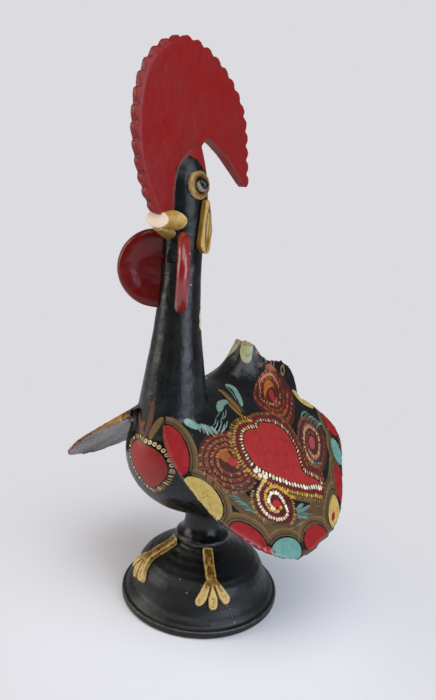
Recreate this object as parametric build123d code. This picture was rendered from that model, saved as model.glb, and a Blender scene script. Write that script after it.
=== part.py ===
from build123d import *
import math
import os

# Folk rooster of painted earthenware: thrown foot, stem, body and neck, with the head, comb, beak,
# wattles, eyes, earlobes, wings, tail and feet formed by hand and luted on with slip.
# Millimetres. +Z is up, the bird faces -Y and its left side is +X.
# The origin is the centre of the foot's underside.

# Joints between clay pieces
slip_gap = 0.3

# Bell-shaped foot, thrown hollow and open below
foot_radius = 69.3
foot_rim_height = 7.0
foot_rim_round = 2.0
groove_radius = 65.5
groove_height = 1.6
ledge_radius = 57.6
ledge_height = 20.0
ledge_step = 1.0
shoulder_radius = 46.0
shoulder_height = 38.0
bell_height = 54.0
bell_seat_radius = 22.0
bell_wall = 8.0

# Stem with a rolled collar at its foot
collar_radius = 24.5
collar_height = 7.0
collar_round = 2.0
stem_radius = 16.7
stem_waist_height = 20.0
stem_height = 31.5
stem_flare = 11.0

# Egg-shaped body, thrown about an axis that tilts up towards the chest
body_radius = 55.0
chest_length = 75.0
rump_length = 52.0
body_tilt = 15.0
body_forward = 6.5

# Neck, thrown as a tapered tube and set on the front of the body
neck_forward = 46.8
neck_lean = 0.7
neck_sink = 25.5
neck_length = 150.0
neck_foot_radius = 30.0
neck_lower_radius = 22.9
neck_lower_height = 50.0
neck_upper_radius = 17.4
neck_upper_height = 93.0
neck_top_radius = 15.9

# Head: heights above the top of the neck, and half sizes of its oval sections
head_height = 66.0
cheek_height = 25.0
cheek_half_width = 15.6
cheek_half_length = 18.6
brow_height = 43.0
brow_half_width = 13.4
brow_half_length = 16.8
crown_half_width = 4.0
crown_half_length = 8.0
crown_back = 5.0

# Comb: a thick plate, scalloped round its free edge, with reaches from the top of the neck
comb_root_thickness = 11.6
comb_edge_thickness = 5.4
comb_height = 132.0
comb_front = 50.5
comb_back = 66.0
scallop_count = 26
scallop_depth = 3.6

# Beak, broken off short as on the object, and the jaw below it
beak_height = 12.0
beak_length = 28.6
beak_root = (13.5, 9.5)
beak_end = (6.5, 4.7)
break_angle = 22.0
jaw_drop = 11.5
jaw_lift = 3.6
jaw_length = 27.0
jaw_root = (9.5, 7.0)
jaw_end = (4.6, 3.0)

# Wattles: dished discs with a rolled rim, one each side of the throat
wattle_radius = 29.5
wattle_angle = 45.0
wattle_reach = 18.0
wattle_drop = 25.0
wattle_web = 4.6
wattle_rim = 8.6

# Eyes, each a coil ring with a ball in it
eye_height = 37.0
eye_forward = 2.0
eye_ring_radius = 7.3
eye_coil_radius = 2.9
pupil_proud = 3.2

# Earlobes: drops of clay pressed on below the eyes
earlobe_top = 27.0
earlobe_length = 38.0
earlobe_half_width = 8.4
earlobe_back = 3.0
earlobe_slant = 3.0
earlobe_tip_half_width = 2.4
earlobe_thickness = 4.6

# Wings and tail: one mantle of slab clay, cut into two wings and a tail
mantle_thickness = 7.0
mantle_rim_thinning = 0.65
mantle_cover = 3.0
mantle_front_crown = 1.0
mantle_rear_crown = 1.7
mantle_margin = 4.0
wing_half_span = 122.0
wing_front = 89.0
wing_back = 82.0
wing_drop = 93.0
tail_slope = 0.93
tail_rise_start = -6.0
tail_rise_ease = 60.0
tail_ridge_half_width = 15.8
tail_ridge_sharpness = 3.0
tail_tip_back = 36.5
tail_lobe_half_width = 25.0
tail_lobe_back = 73.0
notch_half_width = 45.0
notch_back = 64.0
seam_root_half_width = 20.0
seam_root_front = 22.0

# Feet: strips of clay that follow the bell, with three toes
foot_strip = 5.0
foot_angles = {"left_foot": 52.0, "right_foot": -30.0}
foot_press_angle = 50.0
leg_width = 8.4
leg_length = 26.0
toe_width = 7.0
toe_length = 18.5
toe_spread = 36.0
toe_fork_radius = 48.0
toe_fork_drop = 14.0
dome_samples = 8

# Levels, axes and planes that several pieces share
body_centre_z = bell_height + stem_height + body_radius
back_z = body_centre_z + body_radius
neck_plane = Plane(
    origin=(0, -neck_forward, back_z - neck_sink),
    x_dir=(1, 0, 0),
    z_dir=(0, math.sin(math.radians(neck_lean)), math.cos(math.radians(neck_lean))),
)
head_plane = neck_plane.offset(neck_length)
head_seat = head_plane.origin
median_plane = Plane(origin=head_seat, x_dir=(0, 1, 0), z_dir=(1, 0, 0))
above_all = head_seat.Z + comb_height


def turned(edges):
    """Turn a closed outline of radius and height, drawn on XY, about the vertical axis."""
    return Rot(90, 0, 0) * revolve(make_face(edges), Axis.Y)


def smooth_step(value):
    """Ease from 0 to 1 as value goes from 0 to 1."""
    held = min(max(value, 0.0), 1.0)
    return held * held * (3 - 2 * held)


def limb(start, end, start_width, end_width):
    """Flat tapered strip with round ends."""
    near = Pos(*start) * Circle(start_width / 2)
    far = Pos(*end) * Circle(end_width / 2)
    return make_hull(near.edges() + far.edges())


def bell_outline():
    """Outer line of the bell from its standing ring to the stem's seat."""
    rim = Polyline(
        (foot_radius - foot_rim_round, 0),
        (foot_radius, foot_rim_round),
        (foot_radius, foot_rim_height - foot_rim_round / 2),
        (foot_radius - foot_rim_round / 2, foot_rim_height),
        (groove_radius, foot_rim_height),
        (groove_radius, foot_rim_height + groove_height),
    )
    flare = Spline(
        (groove_radius, foot_rim_height + groove_height),
        (ledge_radius, ledge_height),
        tangents=[(-0.6, 0.8), (-0.15, 1)],
    )
    step = Line((ledge_radius, ledge_height), (ledge_radius - ledge_step, ledge_height + ledge_step))
    dome = Spline(
        (ledge_radius - ledge_step, ledge_height + ledge_step),
        (shoulder_radius, shoulder_height),
        (bell_seat_radius, bell_height),
        tangents=[(-0.05, 1), (-0.8, 1)],
    )
    return [*rim.edges(), flare, step, dome]


def make_base_bell():
    """Thrown bell, hollow below, with a flat ring to stand on."""
    hollow = Spline(
        (0, bell_height - bell_wall),
        (shoulder_radius - bell_wall, shoulder_height - bell_wall),
        (foot_radius - bell_wall, 0),
        tangents=[(1, 0), (0.35, -1)],
    )
    closing = [
        Line((bell_seat_radius, bell_height), (0, bell_height)),
        Line((0, bell_height), (0, bell_height - bell_wall)),
        hollow,
        Line((foot_radius - bell_wall, 0), (foot_radius - foot_rim_round, 0)),
    ]
    return turned(bell_outline() + closing)


def bell_skin(grow):
    """The bell's dome filled solid and grown evenly, for pieces that lie on it."""
    dome = bell_outline()[-1]
    places = []
    for index in range(dome_samples + 1):
        along = dome % (index / dome_samples)
        places.append(dome @ (index / dome_samples) + Vector(along.Y, -along.X) * grow)
    closing = Polyline(places[-1], (0, places[-1].Y), (0, places[0].Y), places[0])
    return turned([Spline(*places), *closing.edges()])


def egg_quarter(radius, length):
    """Quarter of an oval, from its widest point to its end on the axis."""
    full = 0.5523
    return Bezier((radius, 0), (radius, full * length), (full * radius, length), (0, length))


def make_body(grow=0.0):
    """Egg turned about the tilted axis from rump to chest."""
    tilt = math.radians(body_tilt)
    frame = Plane(
        origin=(0, -body_forward, body_centre_z),
        x_dir=(1, 0, 0),
        z_dir=(0, -math.sin(tilt), -math.cos(tilt)),
    )
    chest = egg_quarter(body_radius + grow, chest_length + grow)
    rump = egg_quarter(body_radius + grow, -rump_length - grow)
    axis = Line(chest @ 1, rump @ 1)
    return frame * revolve(make_face([chest, axis, rump]), Axis.Y)


def make_stem():
    """Waisted stem with its collar, cut to the curve of the body above."""
    collar_top = bell_height + collar_height
    top = bell_height + stem_height + stem_flare
    bead = Spline(
        (collar_radius - collar_round, bell_height),
        (collar_radius, bell_height + collar_height / 2),
        (collar_radius - collar_round, collar_top),
    )
    waist = Spline(
        (collar_radius - collar_round, collar_top),
        (stem_radius, bell_height + stem_waist_height),
        (stem_radius + stem_flare, top),
        tangents=[(-1, 0.7), (1, 0.8)],
    )
    closing = [
        Line((stem_radius + stem_flare, top), (0, top)),
        Line((0, top), (0, bell_height)),
        Line((0, bell_height), (collar_radius - collar_round, bell_height)),
    ]
    return turned([bead, waist] + closing) - make_body(slip_gap)


def neck_blank(grow=0.0):
    """Whole tapered neck, from inside the body to the head's seat."""
    side = Spline(
        (neck_foot_radius + grow, -grow),
        (neck_lower_radius + grow, neck_lower_height),
        (neck_upper_radius + grow, neck_upper_height),
        (neck_top_radius + grow, neck_length),
    )
    closing = [
        Line((neck_top_radius + grow, neck_length), (0, neck_length)),
        Line((0, neck_length), (0, -grow)),
        Line((0, -grow), (neck_foot_radius + grow, -grow)),
    ]
    return neck_plane * turned([side] + closing)


def make_neck():
    """Neck cut to the curve of the body that it stands on."""
    return neck_blank() - make_body(slip_gap)


def make_head(grow=0.0):
    """Head lofted through ovals, from the neck's round top to the narrow crown under the comb."""
    ovals = [
        (0.0, neck_top_radius, neck_top_radius, 0.0),
        (cheek_height, cheek_half_width, cheek_half_length, 0.0),
        (brow_height, brow_half_width, brow_half_length, 0.0),
        (head_height, crown_half_width, crown_half_length, crown_back),
    ]
    sections = []
    for height, half_width, half_length, back in ovals:
        oval = Ellipse(half_width + grow, half_length + grow)
        sections.append(head_plane.offset(height) * Pos(0, back) * oval)
    return loft(sections)


def comb_point(reach, rise):
    """Place on the comb's face from shares of its reach, forward if negative, and of its height."""
    return (reach * (comb_front if reach < 0 else comb_back), rise * comb_height)


def comb_outline():
    """Face of the comb: a scalloped crest and the plain hooked edge behind the head."""
    crest_shares = [
        (-0.56, 0.115), (-0.90, 0.36), (-1.0, 0.62), (-0.79, 0.87), (-0.21, 1.0),
        (0.39, 0.92), (0.80, 0.73), (0.95, 0.47), (1.0, 0.28),
    ]
    hook_shares = [(1.0, 0.28), (0.80, 0.355), (0.50, 0.47), (0.23, 0.53)]
    root_shares = [(0.23, 0.53), (0.0, 0.40), (-0.28, 0.115), (-0.56, 0.115)]
    crest = Spline(*[comb_point(*share) for share in crest_shares])
    edges = []
    for index in range(scallop_count):
        middle = (index + 0.5) / scallop_count
        along = crest % middle
        tip = crest @ middle + Vector(-along.Y, along.X) * scallop_depth
        edges.append(ThreePointArc(crest @ (index / scallop_count), tip, crest @ ((index + 1) / scallop_count)))
    hook = Spline(*[comb_point(*share) for share in hook_shares])
    root = Polyline(*[comb_point(*share) for share in root_shares])
    return make_face(edges + [hook, *root.edges()])


def make_comb():
    """Comb plate, thick at the head and thinner towards its edge, cut to sit on head and beak."""
    plate = extrude(median_plane * comb_outline(), comb_root_thickness, both=True)
    reach = comb_height + scallop_depth
    lens = make_face(
        Polyline(
            (0, -comb_root_thickness / 2),
            (0, comb_root_thickness / 2),
            (reach, comb_edge_thickness / 2),
            (reach, -comb_edge_thickness / 2),
            close=True,
        ).edges()
    )
    brow = Pos(0, head_seat.Y, head_seat.Z + brow_height)
    plate = plate & brow * (Rot(0, 0, -90) * revolve(lens, Axis.Y))
    return plate - make_head(slip_gap) - make_upper_beak(slip_gap)


def beak_cone(root, end, base, tip, grow):
    """Tapered round beak between two points of the median plane, pointing forward."""
    sections = []
    for size, (back, height) in ((root, base), (end, tip)):
        plane = Plane(
            origin=(0, head_seat.Y - back, head_seat.Z + height),
            x_dir=(1, 0, 0),
            z_dir=(0, -1, 0),
        )
        sections.append(plane * Ellipse(size[0] + grow, size[1] + grow))
    return loft(sections)


def make_upper_beak(grow=0.0):
    """Upper beak, ending in the slanting break."""
    cone = beak_cone(
        beak_root, beak_end, (0, beak_height), (beak_length + beak_end[0], beak_height), grow
    )
    stump = Pos(0, head_seat.Y - beak_length, head_seat.Z + beak_height) * Rot(0, 0, break_angle)
    broken_off = stump * Pos(0, -beak_length / 2 - grow) * Box(3 * beak_length, beak_length, beak_length)
    return cone - broken_off - make_head(slip_gap)


def make_lower_beak():
    """Lower half of the beak, tucked under the upper one."""
    height = beak_height - jaw_drop
    cone = beak_cone(jaw_root, jaw_end, (0, height), (jaw_length, height + jaw_lift), 0.0)
    return cone - make_upper_beak(slip_gap) - make_head(slip_gap) - neck_blank(slip_gap)


def make_wattle(side, grow=0.0):
    """Disc that hangs from the throat on one side, cut to the neck, head and beak."""
    angle = math.radians(side * wattle_angle)
    outward = Vector(math.sin(angle), -math.cos(angle), 0)
    middle = head_seat + outward * wattle_reach - Vector(0, 0, wattle_drop)
    rim_middle = wattle_radius - wattle_rim / 2
    web = wattle_web / 2 + grow
    rim = wattle_rim / 2 + grow
    face = Spline((0, web), (wattle_radius / 2, web), (rim_middle, rim), tangents=[(1, 0), (1, 0)])
    roll = CenterArc((rim_middle, 0), rim, 90, -180)
    back = Spline((0, -web), (wattle_radius / 2, -web), (rim_middle, -rim), tangents=[(1, 0), (1, 0)])
    section = make_face([face, roll, back, Line((0, -web), (0, web))])
    disc = Plane(origin=middle, x_dir=outward, z_dir=(0, 0, 1)) * revolve(section, Axis.Y)
    return disc - neck_blank(slip_gap) - make_head(slip_gap) - make_upper_beak(slip_gap) - make_lower_beak()


def eye_frame(side):
    """Place of an eye on the head's side, with local Z pointing out."""
    share = (eye_height - cheek_height) / (brow_height - cheek_height)
    half_width = cheek_half_width + share * (brow_half_width - cheek_half_width)
    slope = math.degrees(math.atan2(cheek_half_width - brow_half_width, brow_height - cheek_height))
    middle = head_plane.offset(eye_height).origin
    return Pos(side * half_width, middle.Y - eye_forward, middle.Z) * Rot(0, side * (90 - slope), 0)


def make_eye_ring(side, grow=0.0):
    """Coil of clay pressed round the eye."""
    return eye_frame(side) * Torus(eye_ring_radius, eye_coil_radius + grow) - make_head(slip_gap)


def make_pupil(side):
    """Ball set inside the eye's ring."""
    radius = eye_ring_radius - eye_coil_radius
    ball = eye_frame(side) * Pos(0, 0, pupil_proud) * Sphere(radius)
    return ball - make_head(slip_gap) - make_eye_ring(side, slip_gap)


def make_earlobe(side):
    """Drop of even thickness that follows the side of the head and neck."""
    bottom = earlobe_top - earlobe_length + earlobe_half_width
    drop = limb(
        (earlobe_back + earlobe_slant, bottom),
        (earlobe_back, earlobe_top - earlobe_tip_half_width),
        2 * earlobe_half_width,
        2 * earlobe_tip_half_width,
    )
    reach = cheek_half_width + 2 * earlobe_thickness
    prism = extrude(median_plane * drop, reach, dir=(side, 0, 0))
    skin = neck_blank(earlobe_thickness) + make_head(earlobe_thickness)
    return (skin & prism) - neck_blank(slip_gap) - make_head(slip_gap) - make_wattle(side, slip_gap)


def mantle_height(x, y):
    """Top of the mantle: a cape over the body, with the tail's ridge climbing on it to the back."""
    ease = smooth_step((y + wing_front) / wing_front)
    crown = mantle_front_crown + (mantle_rear_crown - mantle_front_crown) * ease
    cape = back_z + mantle_cover - wing_drop * (abs(x) / wing_half_span) ** crown
    climb = max(y - tail_rise_start, 0.0)
    ridge = tail_slope * climb * smooth_step(climb / tail_rise_ease)
    return cape + ridge / (1 + (abs(x) / tail_ridge_half_width) ** tail_ridge_sharpness)


def mantle_depth(x, y):
    """Upright depth that gives the slab its thickness square to its face, thinner near the rim."""
    along = mantle_height(x, y + 1) - mantle_height(x, y)
    across = mantle_height(abs(x) + 1, y) - mantle_height(abs(x), y)
    reach = math.hypot(x / wing_half_span, y / wing_front)
    thinning = max(min(reach, 1.0) ** 8, min(max(y, 0.0) / tail_lobe_back, 1.0) ** 4)
    thickness = mantle_thickness * (1 - mantle_rim_thinning * thinning)
    return thickness * math.sqrt(1 + along ** 2 + across ** 2)


def mantle_section(y):
    """Thin curved slice of the mantle across the bird."""
    steps = 12
    half = [(wing_half_span + mantle_margin) * (index / steps) ** 1.6 for index in range(1, steps + 1)]
    across = [-x for x in reversed(half)] + [0.0] + half
    top = Spline(*[(x, y, mantle_height(x, y)) for x in across])
    under = Spline(*[(x, y, mantle_height(x, y) - mantle_depth(x, y)) for x in across])
    return make_face([top, under, Line(top @ 0, under @ 0), Line(top @ 1, under @ 1)])


def make_mantle():
    """Slab that both wings and the tail are cut from."""
    front = -wing_front - mantle_margin
    length = wing_front + wing_back + 2 * mantle_margin
    steps = 11
    return loft([mantle_section(front + length * index / steps) for index in range(steps + 1)])


def wing_plan():
    """Left wing from above: a rounded flap from the neck's front to the notch before the tail."""
    span = wing_half_span
    rim = Spline(
        (0.14 * span, -0.85 * wing_front),
        (0.50 * span, -wing_front),
        (0.79 * span, -0.84 * wing_front),
        (0.98 * span, -0.54 * wing_front),
        (span, -0.14 * wing_front),
        (0.94 * span, 0.40 * wing_back),
        (0.79 * span, 0.76 * wing_back),
        (0.615 * span, wing_back),
        (0.50 * span, 0.95 * wing_back),
        (notch_half_width + slip_gap, notch_back),
    )
    inner = Polyline(
        (notch_half_width + slip_gap, notch_back),
        (seam_root_half_width + slip_gap, -seam_root_front),
        (seam_root_half_width + slip_gap, -neck_forward),
        (0.14 * span, -0.85 * wing_front),
    )
    return make_face([rim, *inner.edges()])


def tail_plan():
    """Tail from above: a fan from behind the neck, with a lobe each side of the forked rear edge."""
    half = [
        (0.41 * tail_lobe_half_width, 0.55 * tail_lobe_back),
        (0.84 * tail_lobe_half_width, 0.80 * tail_lobe_back),
        (tail_lobe_half_width, tail_lobe_back),
        (notch_half_width, notch_back),
    ]
    far = [(-x, y) for x, y in reversed(half)]
    rear = Spline(*far, (0, tail_tip_back), *half)
    root = [(seam_root_half_width, -seam_root_front), (-seam_root_half_width, -seam_root_front)]
    return make_face([rear, *Polyline(half[-1], *root, far[0]).edges()])


def make_wing_and_tail():
    """Cut the mantle to its outlines and to the body and neck that it is luted on."""
    mantle = make_mantle() - make_body(slip_gap) - neck_blank(slip_gap)
    wing = mantle & extrude(wing_plan(), above_all, dir=(0, 0, 1))
    tail = mantle & extrude(tail_plan(), above_all, dir=(0, 0, 1))
    return wing, tail


def make_foot(angle):
    """Leg and three toes of one strip, pressed over the bell from outside."""
    aim = math.radians(angle)
    lean = math.radians(foot_press_angle)
    outward = Vector(math.sin(aim), -math.cos(aim), 0)
    press = outward * math.sin(lean) + Vector(0, 0, math.cos(lean))
    down = outward * math.cos(lean) - Vector(0, 0, math.sin(lean))
    fork = outward * toe_fork_radius + Vector(0, 0, bell_height - toe_fork_drop)
    plan = limb((-leg_length, 0), (0, 0), leg_width, leg_width)
    for turn in (-toe_spread, 0.0, toe_spread):
        tip = (toe_length * math.cos(math.radians(turn)), toe_length * math.sin(math.radians(turn)))
        plan += limb((0, 0), tip, leg_width, toe_width)
    prism = extrude(Plane(origin=fork, x_dir=down, z_dir=press) * plan, leg_length, both=True)
    collar = Cylinder(collar_radius + slip_gap, 4 * bell_height)
    return (bell_skin(foot_strip) & prism) - bell_skin(slip_gap) - collar


left_wing, tail = make_wing_and_tail()
pieces = {
    "base_bell": make_base_bell(),
    "stem": make_stem(),
    "body": make_body(),
    "neck": make_neck(),
    "head": make_head(),
    "comb": make_comb(),
    "upper_beak": make_upper_beak(),
    "lower_beak": make_lower_beak(),
    "left_wing": left_wing,
    "right_wing": mirror(left_wing, about=Plane.YZ),
    "tail": tail,
}
for name, side in (("left", 1), ("right", -1)):
    pieces[f"{name}_wattle"] = make_wattle(side)
    pieces[f"{name}_eye_ring"] = make_eye_ring(side)
    pieces[f"{name}_pupil"] = make_pupil(side)
    pieces[f"{name}_earlobe"] = make_earlobe(side)
for name, angle in foot_angles.items():
    pieces[name] = make_foot(angle)

os.makedirs("parts", exist_ok=True)
for name, solid in pieces.items():
    export_step(solid, f"parts/{name}.step")
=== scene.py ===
import math
import random

import bpy
import numpy as np
from mathutils import Matrix, Vector
from mathutils.bvhtree import BVHTree
from mathutils.geometry import delaunay_2d_cdt


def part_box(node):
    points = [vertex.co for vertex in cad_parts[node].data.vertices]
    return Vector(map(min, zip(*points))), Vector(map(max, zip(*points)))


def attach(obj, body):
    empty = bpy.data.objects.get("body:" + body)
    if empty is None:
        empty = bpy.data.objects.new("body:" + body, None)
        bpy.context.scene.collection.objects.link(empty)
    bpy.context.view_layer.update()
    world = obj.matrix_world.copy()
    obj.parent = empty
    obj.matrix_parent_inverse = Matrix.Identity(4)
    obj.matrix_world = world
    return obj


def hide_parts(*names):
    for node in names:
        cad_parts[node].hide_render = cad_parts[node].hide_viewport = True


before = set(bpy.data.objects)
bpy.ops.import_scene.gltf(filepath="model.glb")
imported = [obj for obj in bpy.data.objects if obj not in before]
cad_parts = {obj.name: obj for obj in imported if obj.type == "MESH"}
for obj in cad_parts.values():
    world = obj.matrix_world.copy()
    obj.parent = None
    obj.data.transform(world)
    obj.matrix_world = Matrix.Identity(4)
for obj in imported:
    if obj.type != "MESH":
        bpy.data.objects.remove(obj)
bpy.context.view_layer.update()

bl_info = {
    "name": "Painted clay rooster",
    "version": (1, 0, 0),
    "blender": (4, 5, 0),
    "location": "View3D > Sidebar > Rooster",
    "description": "Finishes a hand-painted clay rooster on a bell foot over its CAD frame",
    "category": "Object",
}

MM = 0.001


def linear(hex_colour):
    """An sRGB hex colour as linear red, green, blue and full alpha."""
    channels = [int(hex_colour[i:i + 2], 16) / 255 for i in (1, 3, 5)]
    return [c / 12.92 if c <= 0.04045 else ((c + 0.055) / 1.055) ** 2.4 for c in channels] + [1.0]


def colour_property(label, use, hex_colour):
    """A colour that a user may change, with its default from a hex value."""
    return bpy.props.FloatVectorProperty(
        name=label, description=use, subtype="COLOR", size=3, min=0.0, max=1.0,
        default=linear(hex_colour)[:3],
    )


def length_property(label, use, millimetres):
    """A length that a user may change, with its default in millimetres."""
    return bpy.props.FloatProperty(
        name=label, description=use, unit="LENGTH", min=0.0, default=millimetres * MM)


class RoosterClay(bpy.types.PropertyGroup):
    """How finely the clay is worked."""
    figure_grain: length_property("Figure grain", "Mesh step on the body, neck, wings and tail", 1.42)
    head_grain: length_property("Head grain", "Mesh step on the head and comb", 0.85)
    base_grain: length_property("Base grain", "Mesh step on the bell foot", 1.05)
    small_grain: length_property("Small grain", "Mesh step on beak, eyes, lobes, wattles and feet", 0.45)
    closing: length_property("Closing", "How far clay is pressed out to close the seams between pieces", 0.6)
    head_closing: length_property("Head closing", "The same between head, comb and neck", 0.3)
    small_closing: length_property("Small closing", "The same on the small pieces", 0.2)
    luting: length_property("Luting", "How far small pieces are pressed over the joints round them", 0.35)
    unevenness: length_property("Unevenness", "Height of the hand's unevenness in the clay", 0.9)
    head_cut: length_property("Head cut", "Height at which the neck passes from figure to head", 301.0)
    ring_height: length_property("Ring height", "Height of the throwing rings on the bell foot", 0.1)
    ring_pitch: length_property("Ring pitch", "Spacing of the throwing rings on the bell foot", 6.4)


class RoosterPaint(bpy.types.PropertyGroup):
    """The paints."""
    black: colour_property("Black", "Black enamel where it lies thick", "#08090a")
    black_thin: colour_property("Thin black", "Black enamel where it lies thin", "#111413")
    red: colour_property("Red", "Comb and wattle red where it lies thick", "#7d0e0d")
    red_thin: colour_property("Thin red", "Comb and wattle red where it lies thin", "#761513")
    ochre: colour_property("Ochre", "Beak, eye ring, lobe and foot paint", "#b8974e")
    brown: colour_property("Brown", "Wash that stays in the hollows of the ochre", "#5a320c")
    clay: colour_property("Clay", "Fired clay where the paint has gone", "#ecd8c2")
    paint_height: length_property("Paint height", "Thickness of one brush mark", 0.18)


class RoosterStage(bpy.types.PropertyGroup):
    """Floor, light and camera."""
    floor: colour_property("Floor", "Colour of the floor", "#f0eff2")
    backdrop: colour_property("Backdrop", "Colour that the floor runs out to", "#dcdbe0")
    focal_length: bpy.props.FloatProperty(
        name="Focal length", description="Lens of the camera", subtype="DISTANCE_CAMERA", default=33.43)
    window_power: bpy.props.FloatProperty(
        name="Window power", description="Power of the window on the right", unit="POWER", default=17.0)
    fill_power: bpy.props.FloatProperty(
        name="Fill power", description="Power of the window on the left", unit="POWER", default=11.0)
    top_power: bpy.props.FloatProperty(
        name="Top power", description="Power of the light overhead", unit="POWER", default=9.0)


# Working the clay

def pick_only(piece):
    """Makes one piece the only selected and active one."""
    bpy.ops.object.select_all(action="DESELECT")
    piece.select_set(True)
    bpy.context.view_layer.objects.active = piece


def apply_modifier(piece, kind, **settings):
    """Adds one modifier, sets it and applies it."""
    pick_only(piece)
    modifier = piece.modifiers.new(kind.title(), kind)
    for name, value in settings.items():
        setattr(modifier, name, value)
    bpy.ops.object.modifier_apply(modifier=modifier.name)


# points closer than this are one
WELD = 0.002 * MM
# how far the large pieces shrink back, the thinnest slab that does, and the room they leave in the CAD box
SHRINK = 0.12 * MM
LEAST_SLAB = 2.2 * MM
ROOM = 0.3 * MM
# how far under the surface a ray starts, to miss the surface that it starts from
SKIN = 0.02 * MM
# one round of smoothing pulls points together by the first share and lets them go by the second
PULL = 0.5
LET_GO = 0.52
# rounds of smoothing after clay is pressed back, and of averaging how far and which way it is pressed
LAST_ROUNDS = 3
SHARE_ROUNDS = 3
NORMAL_ROUNDS = 4
# width in mm of the fingers' marks on large pieces, and the height of the noise that moves nothing
FINGER_MM = 24
HAND_LEVEL = 0.8
SHADING_ANGLE = math.radians(60)


def clay_copy(name, nodes, grain, smoothing, closing=None):
    """One clay piece from copies of CAD nodes: joined, welded, pressed together, remeshed and smoothed.

    A piece with no closing of its own is a small one, and it ends pressed over the joints round it.
    """
    clay = bpy.context.scene.rooster_clay
    swell = 0.0 if closing else clay.luting
    closing = closing or clay.small_closing
    bpy.ops.object.select_all(action="DESELECT")
    for node in nodes:
        copy = bpy.data.objects.new(name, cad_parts[node].data.copy())
        bpy.context.scene.collection.objects.link(copy)
        copy.select_set(True)
        bpy.context.view_layer.objects.active = copy
    if len(nodes) > 1:
        bpy.ops.object.join()
    piece = bpy.context.view_layer.objects.active
    piece.name = name
    piece.data.name = name
    piece.data.materials.clear()
    bpy.ops.object.mode_set(mode="EDIT")
    bpy.ops.mesh.select_all(action="SELECT")
    bpy.ops.mesh.remove_doubles(threshold=WELD)
    bpy.ops.object.mode_set(mode="OBJECT")
    blank = mesh_arrays(piece)[0]
    apply_modifier(piece, "DISPLACE", strength=closing, mid_level=0.0)
    apply_modifier(piece, "REMESH", mode="VOXEL", voxel_size=grain)
    even_out(piece, smoothing)
    if swell:
        press_back(piece, closing - swell)
    else:
        press_back(piece, closing + SHRINK, LEAST_SLAB)
    even_out(piece, LAST_ROUNDS)
    if not swell:
        points = mesh_arrays(piece)[0]
        set_points(piece, np.clip(points, blank.min(axis=0) + ROOM, blank.max(axis=0) - ROOM))
    return piece


def press_by_hand(piece, size_mm, height):
    """Leaves the unevenness of fingers in a piece of clay."""
    texture = bpy.data.textures.new(piece.name + "_hand", "CLOUDS")
    texture.noise_scale = size_mm * MM
    apply_modifier(
        piece, "DISPLACE", texture=texture, texture_coords="LOCAL", strength=height, mid_level=HAND_LEVEL)
    bpy.data.textures.remove(texture)


def cut_level(piece, height, keep_above):
    """Cuts a piece level at a height, closes the cut and keeps one side."""
    pick_only(piece)
    bpy.ops.object.mode_set(mode="EDIT")
    bpy.ops.mesh.select_all(action="SELECT")
    bpy.ops.mesh.bisect(
        plane_co=(0, 0, height), plane_no=(0, 0, 1), use_fill=True,
        clear_inner=keep_above, clear_outer=not keep_above,
    )
    bpy.ops.object.mode_set(mode="OBJECT")


def mesh_arrays(piece):
    """A mesh's points, normals and edges as arrays."""
    mesh = piece.data
    points = np.empty(len(mesh.vertices) * 3)
    normals = np.empty(len(mesh.vertices) * 3)
    edges = np.empty(len(mesh.edges) * 2, dtype=np.int32)
    mesh.vertices.foreach_get("co", points)
    mesh.vertices.foreach_get("normal", normals)
    mesh.edges.foreach_get("vertices", edges)
    return points.reshape(-1, 3), normals.reshape(-1, 3), edges.reshape(-1, 2)


def set_points(piece, points):
    """Moves a mesh's points."""
    piece.data.vertices.foreach_set("co", points.ravel())
    piece.data.update()


def store(piece, name, values):
    """Keeps one number for each point of a mesh."""
    attribute = piece.data.attributes.new(name, "FLOAT", "POINT")
    attribute.data.foreach_set("value", np.asarray(values, dtype=np.float32))


def neighbour_mean(values, edges):
    """Each point's mean over its neighbours."""
    ends = np.concatenate([edges[:, 0], edges[:, 1]])
    others = np.concatenate([edges[:, 1], edges[:, 0]])
    size = len(values)
    count = np.maximum(np.bincount(ends, minlength=size), 1)
    columns = [np.bincount(ends, column[others], size) / count for column in values.T]
    return np.stack(columns, axis=1)


def even_out(piece, rounds):
    """Smooths a piece without drawing its rims in: each round pulls points together, then lets them go."""
    points, _, edges = mesh_arrays(piece)
    for _ in range(rounds):
        points = points + PULL * (neighbour_mean(points, edges) - points)
        points = points - LET_GO * (neighbour_mean(points, edges) - points)
    set_points(piece, points)


def press_back(piece, distance, least=0.0):
    """Sinks the surface by a distance, less on rims, and not where a slab would be thinner than the least."""
    points, normals, edges = mesh_arrays(piece)
    share = np.ones((len(points), 1))
    if least:
        tree = clay_tree(piece)
        far = 4 * least
        starts = points - SKIN * normals
        hits = [tree.ray_cast(Vector(at), Vector(-way), far) for at, way in zip(starts, normals)]
        depths = np.array([hit[3] or far for hit in hits])
        share = np.clip((depths - least) / (2 * distance), 0, 1)[:, None]
        for _ in range(SHARE_ROUNDS):
            share = neighbour_mean(share, edges)
    for _ in range(NORMAL_ROUNDS):
        normals = neighbour_mean(normals, edges)
    set_points(piece, points - distance * share * normals)


def mark_edges(piece, reach):
    """Keeps how far each point stands out from its surroundings in mm, so wear and washes follow the form."""
    points, normals, edges = mesh_arrays(piece)
    around = points
    for _ in range(reach):
        around = neighbour_mean(around, edges)
    store(piece, "stand_out", ((points - around) * normals).sum(axis=1) / MM)


def add_to_edges(piece, extra):
    """Adds to what mark_edges kept, so wear and washes also go where they are wanted."""
    kept = piece.data.attributes["stand_out"].data
    form = np.empty(len(kept))
    kept.foreach_get("value", form)
    kept.foreach_set("value", (form + extra).astype(np.float32))


def finish_piece(piece, finish, nodes=()):
    """Shades a piece, gives it its finish and sets it on the one body."""
    pick_only(piece)
    bpy.ops.object.shade_smooth_by_angle(angle=SHADING_ANGLE)
    if not piece.data.materials:
        piece.data.materials.append(finish)
    if nodes:
        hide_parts(*nodes)
    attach(piece, "root")


# Finishes

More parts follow.
